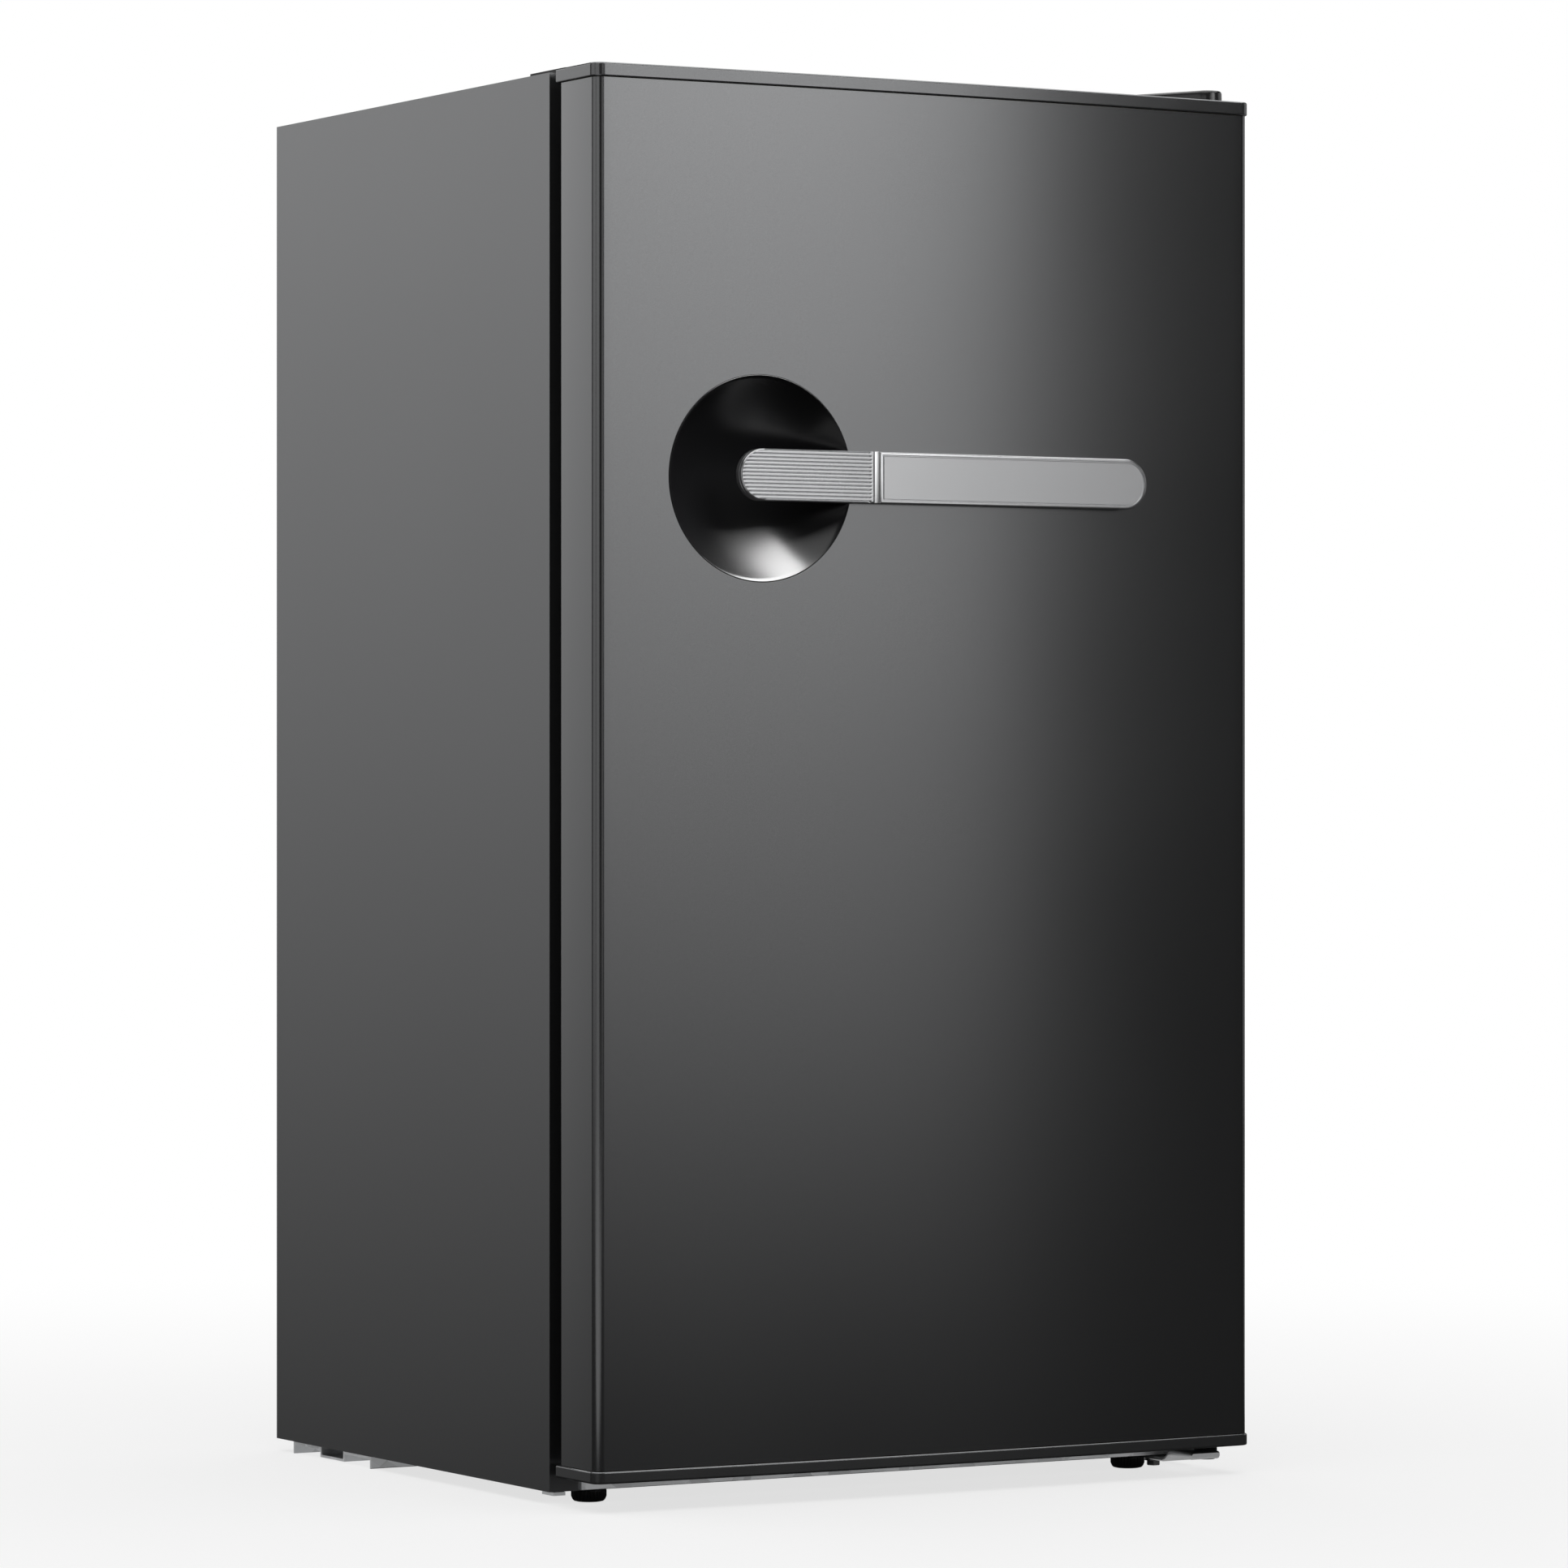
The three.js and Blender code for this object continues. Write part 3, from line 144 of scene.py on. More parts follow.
def add_box(bm, low, high, edge=0.0, steps=2):
    """A box, its edges rounded off by edge."""
    made = bmesh.ops.create_cube(bm, size=1)["verts"]
    for v in made:
        v.co = Vector([low[i] + (v.co[i] + 0.5) * (high[i] - low[i]) for i in range(3)])
    if edge:
        edges = list(dict.fromkeys(e for v in made for e in v.link_edges))
        bmesh.ops.bevel(bm, geom=edges, offset=edge, segments=steps, profile=0.5, affect="EDGES")


def add_lathe(bm, profile, centre, axis="Z", steps=48, turn=0.0):
    """Turns (radius, height) points round an axis through centre; height runs along that axis."""
    frame_of = {"Z": Matrix.Identity(3), "Y": Matrix(((1, 0, 0), (0, 0, 1), (0, -1, 0))),
                "X": Matrix(((0, 0, 1), (0, 1, 0), (-1, 0, 0)))}[axis]
    swing = Matrix.Rotation(turn, 3, "Z")
    rings = []
    for radius, height in profile:
        ring = []
        for i in range(steps):
            angle = 2 * math.pi * i / steps
            local = Vector((radius * math.cos(angle), radius * math.sin(angle), height))
            ring.append(Vector(centre) + swing @ (frame_of @ local))
        rings.append(ring)
    add_loft(bm, rings, caps=True)


def add_tube(bm, points, radius, sides=10):
    """A round tube through points, its ends closed."""
    points = [Vector(p) for p in points]
    aside = None
    rings = []
    for i, point in enumerate(points):
        before = point - points[i - 1] if i else points[1] - point
        after = points[i + 1] - point if i < len(points) - 1 else before
        along = (before.normalized() + after.normalized()).normalized()
        if aside is None:
            aside = along.orthogonal().normalized()
        aside = (aside - along * aside.dot(along)).normalized()
        other = along.cross(aside)
        rings.append([point + radius * (math.cos(2 * math.pi * k / sides) * aside
                                        + math.sin(2 * math.pi * k / sides) * other) for k in range(sides)])
    add_loft(bm, rings)


def bevel(node, width, segments=2, angle=40):
    """Rounds the hard edges of a CAD node or a piece."""
    modifier = node.modifiers.new("edges", "BEVEL")
    modifier.width = width
    modifier.segments = segments
    modifier.limit_method = "ANGLE"
    modifier.angle_limit = math.radians(angle)
    modifier.use_clamp_overlap = True
    modifier.harden_normals = False
    return modifier


# ---------------------------------------------------------------- materials
class Shader:
    """A node material with short ways to add what these surfaces need."""

    def __init__(self, name, color, roughness, metallic=0.0, **sockets):
        self.material = bpy.data.materials.new(name)
        self.material.use_nodes = True
        self.tree = self.material.node_tree
        self.bsdf = self.tree.nodes["Principled BSDF"]
        self.bsdf.inputs["Base Color"].default_value = (*color, 1)
        self.bsdf.inputs["Roughness"].default_value = roughness
        self.bsdf.inputs["Metallic"].default_value = metallic
        for socket, value in sockets.items():
            self.bsdf.inputs[socket.replace("_", " ")].default_value = value
        self.place = self.tree.nodes.new("ShaderNodeTexCoord").outputs["Object"]
        self.color, self.roughness = color, roughness

    def add(self, kind, **settings):
        node = self.tree.nodes.new(kind)
        for key, value in settings.items():
            setattr(node, key, value)
        return node

    def link(self, a, b):
        self.tree.links.new(a, b)

    def stretched(self, scale):
        mapping = self.add("ShaderNodeMapping")
        mapping.inputs["Scale"].default_value = scale
        self.link(self.place, mapping.inputs["Vector"])
        return mapping.outputs["Vector"]

    def noise(self, scale, detail=3.0, stretch=(1, 1, 1), rough=0.55):
        node = self.add("ShaderNodeTexNoise")
        node.inputs["Scale"].default_value = scale
        node.inputs["Detail"].default_value = detail
        node.inputs["Roughness"].default_value = rough
        self.link(self.stretched(stretch), node.inputs["Vector"])
        return node.outputs["Fac"]

    def spread(self, factor, low, high):
        """Maps the middle of a noise's range onto low to high."""
        node = self.add("ShaderNodeMapRange", interpolation_type="SMOOTHSTEP")
        node.inputs["From Min"].default_value = 0.15
        node.inputs["From Max"].default_value = 0.85
        node.inputs["To Min"].default_value = low
        node.inputs["To Max"].default_value = high
        self.link(factor, node.inputs["Value"])
        return node.outputs["Result"]

    def vary_roughness(self, factor, by):
        spread = self.spread(factor, self.roughness - by, self.roughness + by)
        self.link(spread, self.bsdf.inputs["Roughness"])

    def vary_color(self, factor, by):
        """Darkens and lightens the base colour by a share of itself."""
        mix = self.add("ShaderNodeMix", data_type="RGBA")
        mix.inputs["A"].default_value = (*[c * (1 - by) for c in self.color], 1)
        mix.inputs["B"].default_value = (*[min(1, c * (1 + by)) for c in self.color], 1)
        self.link(self.spread(factor, 0, 1), mix.inputs["Factor"])
        self.link(mix.outputs["Result"], self.bsdf.inputs["Base Color"])

    def bump(self, height, depth, strength=1.0):
        node = self.add("ShaderNodeBump")
        node.inputs["Strength"].default_value = strength
        node.inputs["Distance"].default_value = depth
        self.link(height, node.inputs["Height"])
        if self.bsdf.inputs["Normal"].is_linked:
            self.link(self.bsdf.inputs["Normal"].links[0].from_socket, node.inputs["Normal"])
        self.link(node.outputs["Normal"], self.bsdf.inputs["Normal"])


def painted_steel(name, color, roughness):
    """Metallic graphite paint: a faint orange peel, fine flakes and slightly uneven gloss."""
    s = Shader(name, color, roughness, 0.95)
    s.bump(s.noise(260, 1), 0.004 * MM, 0.3)
    s.bump(s.noise(2600, 2), 0.002 * MM, 0.4)
    s.vary_roughness(s.noise(5, 1), 0.012)
    s.vary_color(s.noise(2400, 2), 0.08)
    return s.material


def painted_plastic(name, color, roughness):
    """Moulded trim sprayed in the same metallic graphite as the steel."""
    s = Shader(name, color, roughness, 0.85)
    s.bump(s.noise(900, 2), 0.004 * MM, 0.4)
    s.vary_roughness(s.noise(20, 2), 0.02)
    s.vary_color(s.noise(1800, 2), 0.07)
    return s.material


def moulded(name, color, roughness, grain=0.01, coat=0.0):
    """Moulded plastic with a fine spark-eroded texture."""
    s = Shader(name, color, roughness, 0.0, Coat_Weight=coat, Coat_Roughness=0.1)
    s.bump(s.noise(1500, 3), grain * MM, 0.6)
    s.vary_roughness(s.noise(22, 2), 0.03)
    s.vary_color(s.noise(9, 1), 0.012)
    return s.material


def gloss_black(name):
    """Glossy black enamel with a very soft sheen."""
    s = Shader(name, (0.0022, 0.0022, 0.0024), 0.21)
    s.vary_roughness(s.noise(14, 3), 0.01)
    s.bump(s.noise(60, 2), 0.004 * MM, 0.3)
    s.vary_color(s.noise(18, 2), 0.1)
    return s.material


def brushed(name, color, roughness, along="X", metallic=0.9, depth=0.006):
    """Metal with fine brush lines running along one axis."""
    stretch = {"X": (0.02, 1, 1), "Y": (1, 0.02, 1), "Z": (1, 1, 0.02)}[along]
    s = Shader(name, color, roughness, metallic)
    lines = s.noise(4200, 3, stretch)
    s.vary_roughness(lines, 0.04)
    s.vary_color(s.noise(2600, 2, stretch), 0.05)
    s.bump(lines, depth * MM, 0.3)
    return s.material


def satin(name, color, roughness):
    """Bead-blasted metal: an even fine grain without direction."""
    s = Shader(name, color, roughness, 0.9)
    s.bump(s.noise(2800, 2), 0.002 * MM, 0.5)
    s.vary_roughness(s.noise(24, 2), 0.02)
    s.vary_color(s.noise(2400, 2), 0.03)
    return s.material


def polished(name, color, roughness=0.07):
    s = Shader(name, color, roughness, 1.0)
    s.vary_roughness(s.noise(30, 3), 0.02)
    s.vary_color(s.noise(12, 2), 0.03)
    s.bump(s.noise(90, 2), 0.003 * MM, 0.3)
    return s.material


def galvanised(name, color):
    """Zinc-coated sheet with its spangle."""
    s = Shader(name, color, 0.4, 0.5)
    cells = s.add("ShaderNodeTexVoronoi", feature="F1")
    cells.inputs["Scale"].default_value = 95
    s.link(s.place, cells.inputs["Vector"])
    grey = s.add("ShaderNodeSeparateColor")
    s.link(cells.outputs["Color"], grey.inputs["Color"])
    s.vary_color(grey.outputs["Red"], 0.14)
    s.vary_roughness(grey.outputs["Green"], 0.07)
    s.bump(s.noise(500, 3), 0.01 * MM, 0.4)
    return s.material


def soft_vinyl(name, color):
    s = Shader(name, color, 0.62, 0.0)
    s.bump(s.noise(700, 3), 0.02 * MM, 0.6)
    s.vary_roughness(s.noise(30, 3), 0.06)
    s.vary_color(s.noise(40, 3), 0.12)
    return s.material


def rigid_foam(name, color):
    s = Shader(name, color, 0.95, 0.0)
    cells = s.add("ShaderNodeTexVoronoi", feature="F1")
    cells.inputs["Scale"].default_value = 900
    s.link(s.place, cells.inputs["Vector"])
    s.bump(cells.outputs["Distance"], 0.3 * MM, 0.8)
    s.vary_color(s.noise(60, 4), 0.1)
    return s.material


def clear(name, tint, roughness=0.05, ior=1.5):
    """Clear plastic or glass with faint waviness."""
    s = Shader(name, tint, roughness, 0.0, Transmission_Weight=0.92, IOR=ior)
    s.bump(s.noise(30, 2), 0.02 * MM, 0.3)
    s.vary_roughness(s.noise(16, 2), 0.02)
    s.vary_color(s.noise(8, 2), 0.02)
    return s.material


SHELL_PAINT = painted_steel("shell_paint", (0.3, 0.303, 0.308), 0.26)
DOOR_PAINT = painted_steel("door_paint", (0.3, 0.303, 0.308), 0.185)
CAP_PLASTIC = painted_plastic("cap_plastic", (0.28, 0.283, 0.288), 0.19)
BLACK_PLASTIC = moulded("black_plastic", (0.013, 0.013, 0.014), 0.42)
GLOSS_BLACK = gloss_black("gloss_black")
SATIN_SILVER = satin("satin_silver", (0.72, 0.725, 0.735), 0.25)
CHROME = polished("bright_chrome", (0.94, 0.945, 0.95), 0.28)
LINER_WHITE = moulded("liner_white", (0.8, 0.815, 0.815), 0.3, 0.006, 0.2)
WHITE_PLASTIC = moulded("white_plastic", (0.84, 0.85, 0.85), 0.36)
CLEAR_PLASTIC = clear("clear_plastic", (0.93, 0.965, 0.985), 0.06, 1.49)
GLASS = clear("shelf_glass", (0.86, 0.96, 0.93), 0.02, 1.52)
FOAM = rigid_foam("cream_foam", (0.78, 0.68, 0.42))
VINYL = soft_vinyl("gasket_vinyl", (0.018, 0.018, 0.019))
ZINC = galvanised("galvanised_sheet", (0.58, 0.59, 0.6))
HINGE_STEEL = brushed("hinge_steel", (0.5, 0.505, 0.51), 0.3, "Y")
HINGE_BLACK = moulded("hinge_black", (0.02, 0.02, 0.021), 0.26, 0.006, 1.0)
EVAPORATOR = brushed("evaporator_sheet", (0.72, 0.735, 0.75), 0.36, "Y", 0.95, 0.01)
ENAMEL = moulded("black_enamel", (0.011, 0.011, 0.012), 0.3, 0.02, 0.4)
COPPER = brushed("copper_tube", (0.72, 0.36, 0.2), 0.28, "Z", 1.0, 0.004)
RUBBER = soft_vinyl("moulded_rubber", (0.022, 0.022, 0.023))

MATERIAL_OF_SLOT = {
    "shell_paint": SHELL_PAINT, "door_paint": DOOR_PAINT, "cap_plastic": CAP_PLASTIC,
    "black_plastic": BLACK_PLASTIC, "gloss_black": GLOSS_BLACK, "satin_silver": SATIN_SILVER,
    "bright_chrome": CHROME, "liner_white": LINER_WHITE, "white_plastic": WHITE_PLASTIC,
    "clear_plastic": CLEAR_PLASTIC, "foam": FOAM, "gasket_rubber": VINYL, "zinc": ZINC,
    "evaporator_alu": EVAPORATOR, "glass": GLASS, "black_enamel": ENAMEL, "copper": COPPER,
    "grommet_rubber": RUBBER,
}

# ---------------------------------------------------------------- CAD nodes that stay: material and edges
# Widths in mm of the rounding on the hard edges of the CAD nodes that stay visible.
EDGE = {
    "outer_shell": 1.2, "inner_liner": 1.6, "spare_hinge_cover": 0.5,
    "front_rail": 0.3, "corner_tab": 0.4, "compressor_base": 0.5,
    "relay_cover": 1.5, "evaporation_tray": 0.8, "ice_frame": 0.8, "ice_flap": 1.2, "drip_tray": 0.8,
    "thermostat_housing": 1.0, "upper_bin": 0.7, "middle_bin": 0.7,
    "bottle_rack": 0.7, "evaporator": 0.7, "upper_shelf_glass": 0.6, "lower_shelf_glass": 0.6,
    "upper_shelf_trim": 0.5, "lower_shelf_trim": 0.5, "door_liner": 1.4,
}
ROUND_SHARP_ANGLE, FLAT_SHARP_ANGLE = 60, 30
ROUND = ("compressor", "discharge_tube", "suction_tube", "liquid_tube", "capillary_tube", "filter_drier")
for entry in frame["record"]["subparts"]:
    node = nodes[entry["node"]]
    node.data.materials.clear()
    node.data.materials.append(MATERIAL_OF_SLOT[entry["material_slot"]])
    smooth(node, ROUND_SHARP_ANGLE if entry["node"] in ROUND else FLAT_SHARP_ANGLE)
    if entry["node"] in EDGE:
        bevel(node, EDGE[entry["node"]] * MM)


# ---------------------------------------------------------------- door skin and caps
def door_outline(grow, back, bow_steps=72, edge_steps=10):
    """The door in plan, from its rear left corner round the front to its rear right corner."""
    radius = DOOR_EDGE_RADIUS + grow
    reach = HALF_WIDTH + grow - radius
    front = DOOR_CHORD - grow
    left = arc((-reach, front + radius), radius, 180, 270, edge_steps)
    right = arc((reach, front + radius), radius, 270, 360, edge_steps)
    bow = [(-reach + 2 * reach * i / bow_steps, door_face(-reach + 2 * reach * i / bow_steps, grow))
           for i in range(1, bow_steps)]
    return [(-HALF_WIDTH - grow, back)] + left + bow + right + [(HALF_WIDTH + grow, back)]


def make_door_skin():
    """The painted steel wrap with its returned rear flanges; cut_hole cuts the round hole for the dish
    afterwards.
    """
    flange, bend, sheet = 20 * MM, 1.6 * MM, 1 * MM
    outline = door_outline(0, DOOR_BACK - bend)
    rear_left = [(-HALF_WIDTH + flange, DOOR_BACK)] + list(reversed(
        arc((-HALF_WIDTH + bend, DOOR_BACK - bend), bend, 180, 90, 4)))[:-1]
    rear_right = [(-x, y) for x, y in reversed(rear_left)]
    path = rear_left + outline + rear_right
    bm = loft([[(x, y, z) for x, y in path] for z in (panel_low.z, panel_high.z)], closed=False, caps=False)
    skin = piece("door_skin", bm, "door", DOOR_PAINT, ["door_panel"])
    thickness = skin.modifiers.new("sheet", "SOLIDIFY")
    thickness.thickness = sheet
    thickness.offset = 1 if skin.data.polygons[0].normal.y < 0 else -1
    return skin


def cut_hole(obj, radius):
    """Cuts the dish's hole through a door piece."""
    bm = bmesh.new()
    outside, inside = 30 * MM, 12 * MM
    centre = (DISH_X, door_face(DISH_X), DISH_Z)
    add_lathe(bm, [(radius, -outside), (radius, inside)], centre, "Y", 128, DISH_TURN)
    bmesh.ops.recalc_face_normals(bm, faces=bm.faces)
    mesh = bpy.data.meshes.new("cutter")
    bm.to_mesh(mesh)
    bm.free()
    cutter = bpy.data.objects.new("cutter", mesh)
    bpy.context.scene.collection.objects.link(cutter)
    hole = obj.modifiers.new("hole", "BOOLEAN")
    hole.operation = "DIFFERENCE"
    hole.solver = "EXACT"
    hole.object = cutter
    bpy.context.view_layer.update()
    apply_modifiers(obj)
    bpy.data.objects.remove(cutter)


def apply_modifiers(obj):
    """Bakes an object's modifiers into its mesh."""
    evaluated = obj.evaluated_get(bpy.context.evaluated_depsgraph_get())
    mesh = bpy.data.meshes.new_from_object(evaluated)
    obj.modifiers.clear()
    obj.data = mesh


def make_caps():
    """Top and bottom caps: moulded, with rounded edges and a shadow line against the skin."""
    for name, top in (("door_top_cap", True), ("door_bottom_cap", False)):
        low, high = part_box(name)
        overhang = high.x - HALF_WIDTH
        near, far = (low.z, high.z) if top else (high.z, low.z)
        away = 1 if top else -1
        tall = abs(far - near)
        steps = [(0, overhang - 1.6 * MM), (0, overhang - 0.8 * MM), (0.25 * MM, overhang - 0.25 * MM),
                 (0.8 * MM, overhang), (0.9 * MM, overhang), (tall - 1.2 * MM, overhang),
                 (tall - 1.1 * MM, overhang), (tall - 0.5 * MM, overhang - 0.12 * MM),
                 (tall - 0.15 * MM, overhang - 0.45 * MM), (tall, overhang - 1.1 * MM)]
        rings = []
        for height, grow in steps:
            back = high.y - (overhang - grow)
            rings.append([(x, y, near + away * height) for x, y in door_outline(grow, back)])
        piece(name + "_moulding", loft(rings), "door", CAP_PLASTIC, [name], 50)


# ---------------------------------------------------------------- dish and handle
def bowl_depth(radius, opening, depth):
    """How far a spherical bowl of this opening and depth lies behind its rim at radius."""
    sphere = (opening ** 2 + depth ** 2) / (2 * depth)
    return depth - sphere + math.sqrt(sphere ** 2 - radius ** 2)


def make_dish():
    """Polished bowl with a fine rim flush with the door, closed by its own back."""
    rim, skirt, wall, rows = 0.4 * MM, 5.5 * MM, 1.8 * MM, 32
    mouth = DISH_RADIUS - rim
    deep = DISH_DEPTH + wall
    front = [(r, bowl_depth(r, mouth, DISH_DEPTH)) for r in [mouth * (1 - i / rows) for i in range(rows)]]
    lip = [(DISH_RADIUS - 0.25 * MM, -0.06 * MM), (DISH_RADIUS - 0.1 * MM, -0.03 * MM),
           (DISH_RADIUS, 0.12 * MM)]
    back = [(DISH_RADIUS * share, skirt * share + bowl_depth(DISH_RADIUS * share, DISH_RADIUS, deep))
            for share in [1 - i / 10 for i in range(10)]]
    tiny = 0.02 * MM
    profile = [(tiny, DISH_DEPTH)] + list(reversed(front)) + lip + back + [(tiny, deep)]
    bm = bmesh.new()
    add_lathe(bm, profile, (DISH_X, door_face(DISH_X), DISH_Z), "Y", 160, DISH_TURN)
    return piece("finger_dish", bm, "door", GLOSS_BLACK, ["handle_dish"], 60)


def bar_outline(left, right, inset, round_left, round_right, steps=28):
    """The bar's outline seen from the front, as (x, z), with round or square ends."""
    half = BAR_HALF - inset
    points = []
    if round_right:
        points += arc((right - BAR_HALF, BAR_MIDDLE_Z), half, -90, 90, steps)
    else:
        points += [(right - inset, BAR_MIDDLE_Z - half), (right - inset, BAR_MIDDLE_Z + half)]
    if round_left:
        points += arc((left + BAR_HALF, BAR_MIDDLE_Z), half, 90, 270, steps)
    else:
        points += [(left + inset, BAR_MIDDLE_Z + half), (left + inset, BAR_MIDDLE_Z - half)]
    return points


def make_bar_body():
    """The bar's core: clear of the dish on the left, resting on the bowed door on the right."""
    back = bar_low.y + 4.2 * MM
    left, right = bar_low.x, bar_high.x
    bm = bmesh.new()
    rings = [(bar_low.y, 0.5), (bar_low.y + 0.3 * MM, 0.1), (bar_low.y + 0.8 * MM, 0), (back - 0.6 * MM, 0),
             (back - 0.2 * MM, 0.2), (back, 0.8)]
    add_loft(bm, [[(x, y, z) for x, z in bar_outline(left, right, inset * MM, True, True)]
                  for y, inset in rings])
    foot_left = DISH_X + DISH_RADIUS + 3 * MM
    outline = bar_outline(foot_left, right - 0.4 * MM, 0.6 * MM, False, True)
    add_loft(bm, [[(x, back - 0.3 * MM, z) for x, z in outline],
                  [(x, door_face(x) - 0.05 * MM, z) for x, z in outline]])
    piece("handle_core", bm, "door", SATIN_SILVER, ["handle_bar"], 40)


RIBS = 13
RIB_DEPTH = 0.8 * MM


def rib_groove(share):
    """Share of the full depth at a place across one rib: 0 is its lower edge and 1 its upper edge."""
    lower, upper = 0.3, 0.16
    rise = max(1 - share / lower, 1 - (1 - share) / upper, 0)
    return rise * rise * (3 - 2 * rise)


def make_grip():
    """Finger grip: level ribs that fade out just short of the divider and the round end."""
    front, back = grip_low.y, grip_high.y
    left, right = grip_low.x, grip_high.x
    rows, columns = RIBS * 14, 56
    margin = 0.9 * MM
    tip_land, tip_ramp = 0.3 * MM, 1.1 * MM
    divider_land, divider_ramp = 1.7 * MM, 0.9 * MM
    centre = left + BAR_HALF
    bm = bmesh.new()
    grid = []
    for r in range(rows + 1):
        offset = (BAR_HALF - margin) * (2 * r / rows - 1)
        start = centre - math.sqrt(max(0, (BAR_HALF - margin) ** 2 - offset ** 2))
        row = []
        for c in range(columns + 1):
            share = 0.5 - 0.5 * math.cos(math.pi * c / columns)
            x = start + (right - 0.3 * MM - start) * share
            ramp = min(1, max(0, (right - divider_land - x) / divider_ramp),
                       max(0, (x - start - tip_land) / tip_ramp))
            groove = rib_groove(RIBS * r / rows % 1)
            depth = RIB_DEPTH * groove * ramp
            row.append(bm.verts.new((x, front + 0.1 * MM + depth, BAR_MIDDLE_Z + offset)))
        grid.append(row)
    for near, far in zip(grid, grid[1:]):
        for a, b, c, d in zip(near, near[1:], far[1:], far):
            bm.faces.new((a, b, c, d))
    border = ([row[0] for row in reversed(grid)] + grid[0][1:] + [row[-1] for row in grid[1:]]
              + list(reversed(grid[-1][1:-1])))
    previous = border
    for depth, grow in ((0.35 * MM, 0.55 * MM), (0.8 * MM, margin), (back - front, margin)):
        ring = []
        for v in border:
            out = Vector((v.co.x - centre if v.co.x < centre else 0, 0, v.co.z - BAR_MIDDLE_Z))
            if abs(v.co.z - BAR_MIDDLE_Z) < BAR_HALF - margin - 1e-6 and v.co.x > centre:
                out = Vector((0, 0, 0))
            move = out.normalized() * grow if out.length > 1e-9 else Vector((0, 0, 0))
            ring.append(bm.verts.new((v.co.x + move.x, front + depth, v.co.z + move.z)))
        for i in range(len(border)):
            j = (i + 1) % len(border)
            bm.faces.new((previous[i], previous[j], ring[j], ring[i]))
        previous = ring
    bm.faces.new(previous)
    piece("ribbed_grip", bm, "door", SATIN_SILVER, ["handle_grip"], 50)


def make_divider():
    """Bright strip between the grip and the plate, its edges rounded."""
    bm = bmesh.new()
    add_box(bm, divider_low, divider_high, 0.4 * MM, 4)
    piece("divider_strip", bm, "door", CHROME, ["handle_divider"], 50)


def make_plate():
    """Smooth face plate: rounded rim, a fine groove inside it, and a flat satin field."""
    front, back = plate_low.y, plate_high.y
    left, right = plate_low.x, plate_high.x
    groove, field = 0.7 * MM, 0.05 * MM
    steps = [(back, 0), (front + 0.9 * MM, 0), (front + 0.45 * MM, 0.15), (front + 0.15 * MM, 0.5),
             (front, 1.0), (front, 1.7), (front + groove, 1.9), (front + groove, 2.5), (front + field, 2.8),
             (front + field, 3.6)]
    rings = [[(x, y, z) for x, z in bar_outline(left, right, inset * MM, False, True)] for y, inset in steps]
    piece("face_plate", loft(rings), "door", SATIN_SILVER, ["handle_plate"], 40)


skin = make_door_skin()
cut_hole(skin, DISH_RADIUS + 0.3 * MM)
smooth(skin, 30)
make_caps()
make_dish()
make_bar_body()
make_grip()
make_divider()
make_plate()

# ---------------------------------------------------------------- gasket, feet, hinges and screws
def make_gasket():
    """Folded vinyl seal: a flat magnet face towards the cabinet and two folds behind it."""
    back, face, corner = gasket_low.y, gasket_high.y, 18.5 * MM
    profile = [(1.6, back), (0.2, back + 1.3 * MM), (2.4, back + 3.2 * MM), (0.4, back + 5.2 * MM),
               (2.6, back + 7.2 * MM), (0.2, back + 9.2 * MM), (0.3, face - 0.4 * MM), (0.8, face),
               (16.5, face), (17.2, face - 0.5 * MM), (17.2, face - 2.6 * MM), (15.2, face - 3.6 * MM),
               (17.4, back + 6.2 * MM), (15.4, back + 3.4 * MM), (17.4, back + 1.2 * MM), (16.4, back)]
    rings = []
    for inset, y in profile:
        loop = rounded_rectangle((gasket_low.x + inset * MM, gasket_low.z + inset * MM),
                                 (gasket_high.x - inset * MM, gasket_high.z - inset * MM),
                                 corner - inset * MM, 6)
        rings.append([(x, y, z) for x, z in loop])
    bm = bmesh.new()
    add_loft(bm, rings + [rings[0]], caps=False)
    bmesh.ops.remove_doubles(bm, verts=bm.verts, dist=1e-6)
    piece("gasket_folds", bm, "door", VINYL, ["door_gasket"], 40)


def make_foot(node):
    """Ribbed pad turned by hand, on a threaded stud."""
    low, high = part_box(node)
    centre = Vector(((low.x + high.x) / 2, (low.y + high.y) / 2, 0))
    outer = (high.x - low.x) / 2
    profile = [(7.2, 0), (8.6, 0.35), (9.4, 1.1), (10.1, 2.6), (10.3, 3.2), (10.3, 6.4), (9.9, 6.9), (4.4, 7)]
    grips, rings = 30, []
    for radius, height in profile:
        notch = 0.5 if 2 < height < 6.6 else 0.0
        ring = []
        for i in range(grips * 4):
            angle = 2 * math.pi * i / (grips * 4)
            reach = (radius - (notch if i % 4 == 3 else 0)) * MM * outer / (10.3 * MM)
            ring.append(centre + Vector((reach * math.cos(angle), reach * math.sin(angle), height * MM)))
        rings.append(ring)
    bm = loft(rings)
    pitch, root, crest = 1.25 * MM, 3.5 * MM, 4 * MM
    turns = int((high.z - 7 * MM) / pitch)
    thread = []
    for i in range(turns):
        base = 6.9 * MM + i * pitch
        thread += [(root, base), (root, base + 0.3 * MM),
                   (crest, base + 0.65 * MM), (crest, base + 0.85 * MM)]
    add_lathe(bm, thread + [(root, high.z - 0.4 * MM), (root - 0.6 * MM, high.z)], centre, "Z", 24)
    piece(node + "_pad", bm, node, BLACK_PLASTIC, [node], 30)


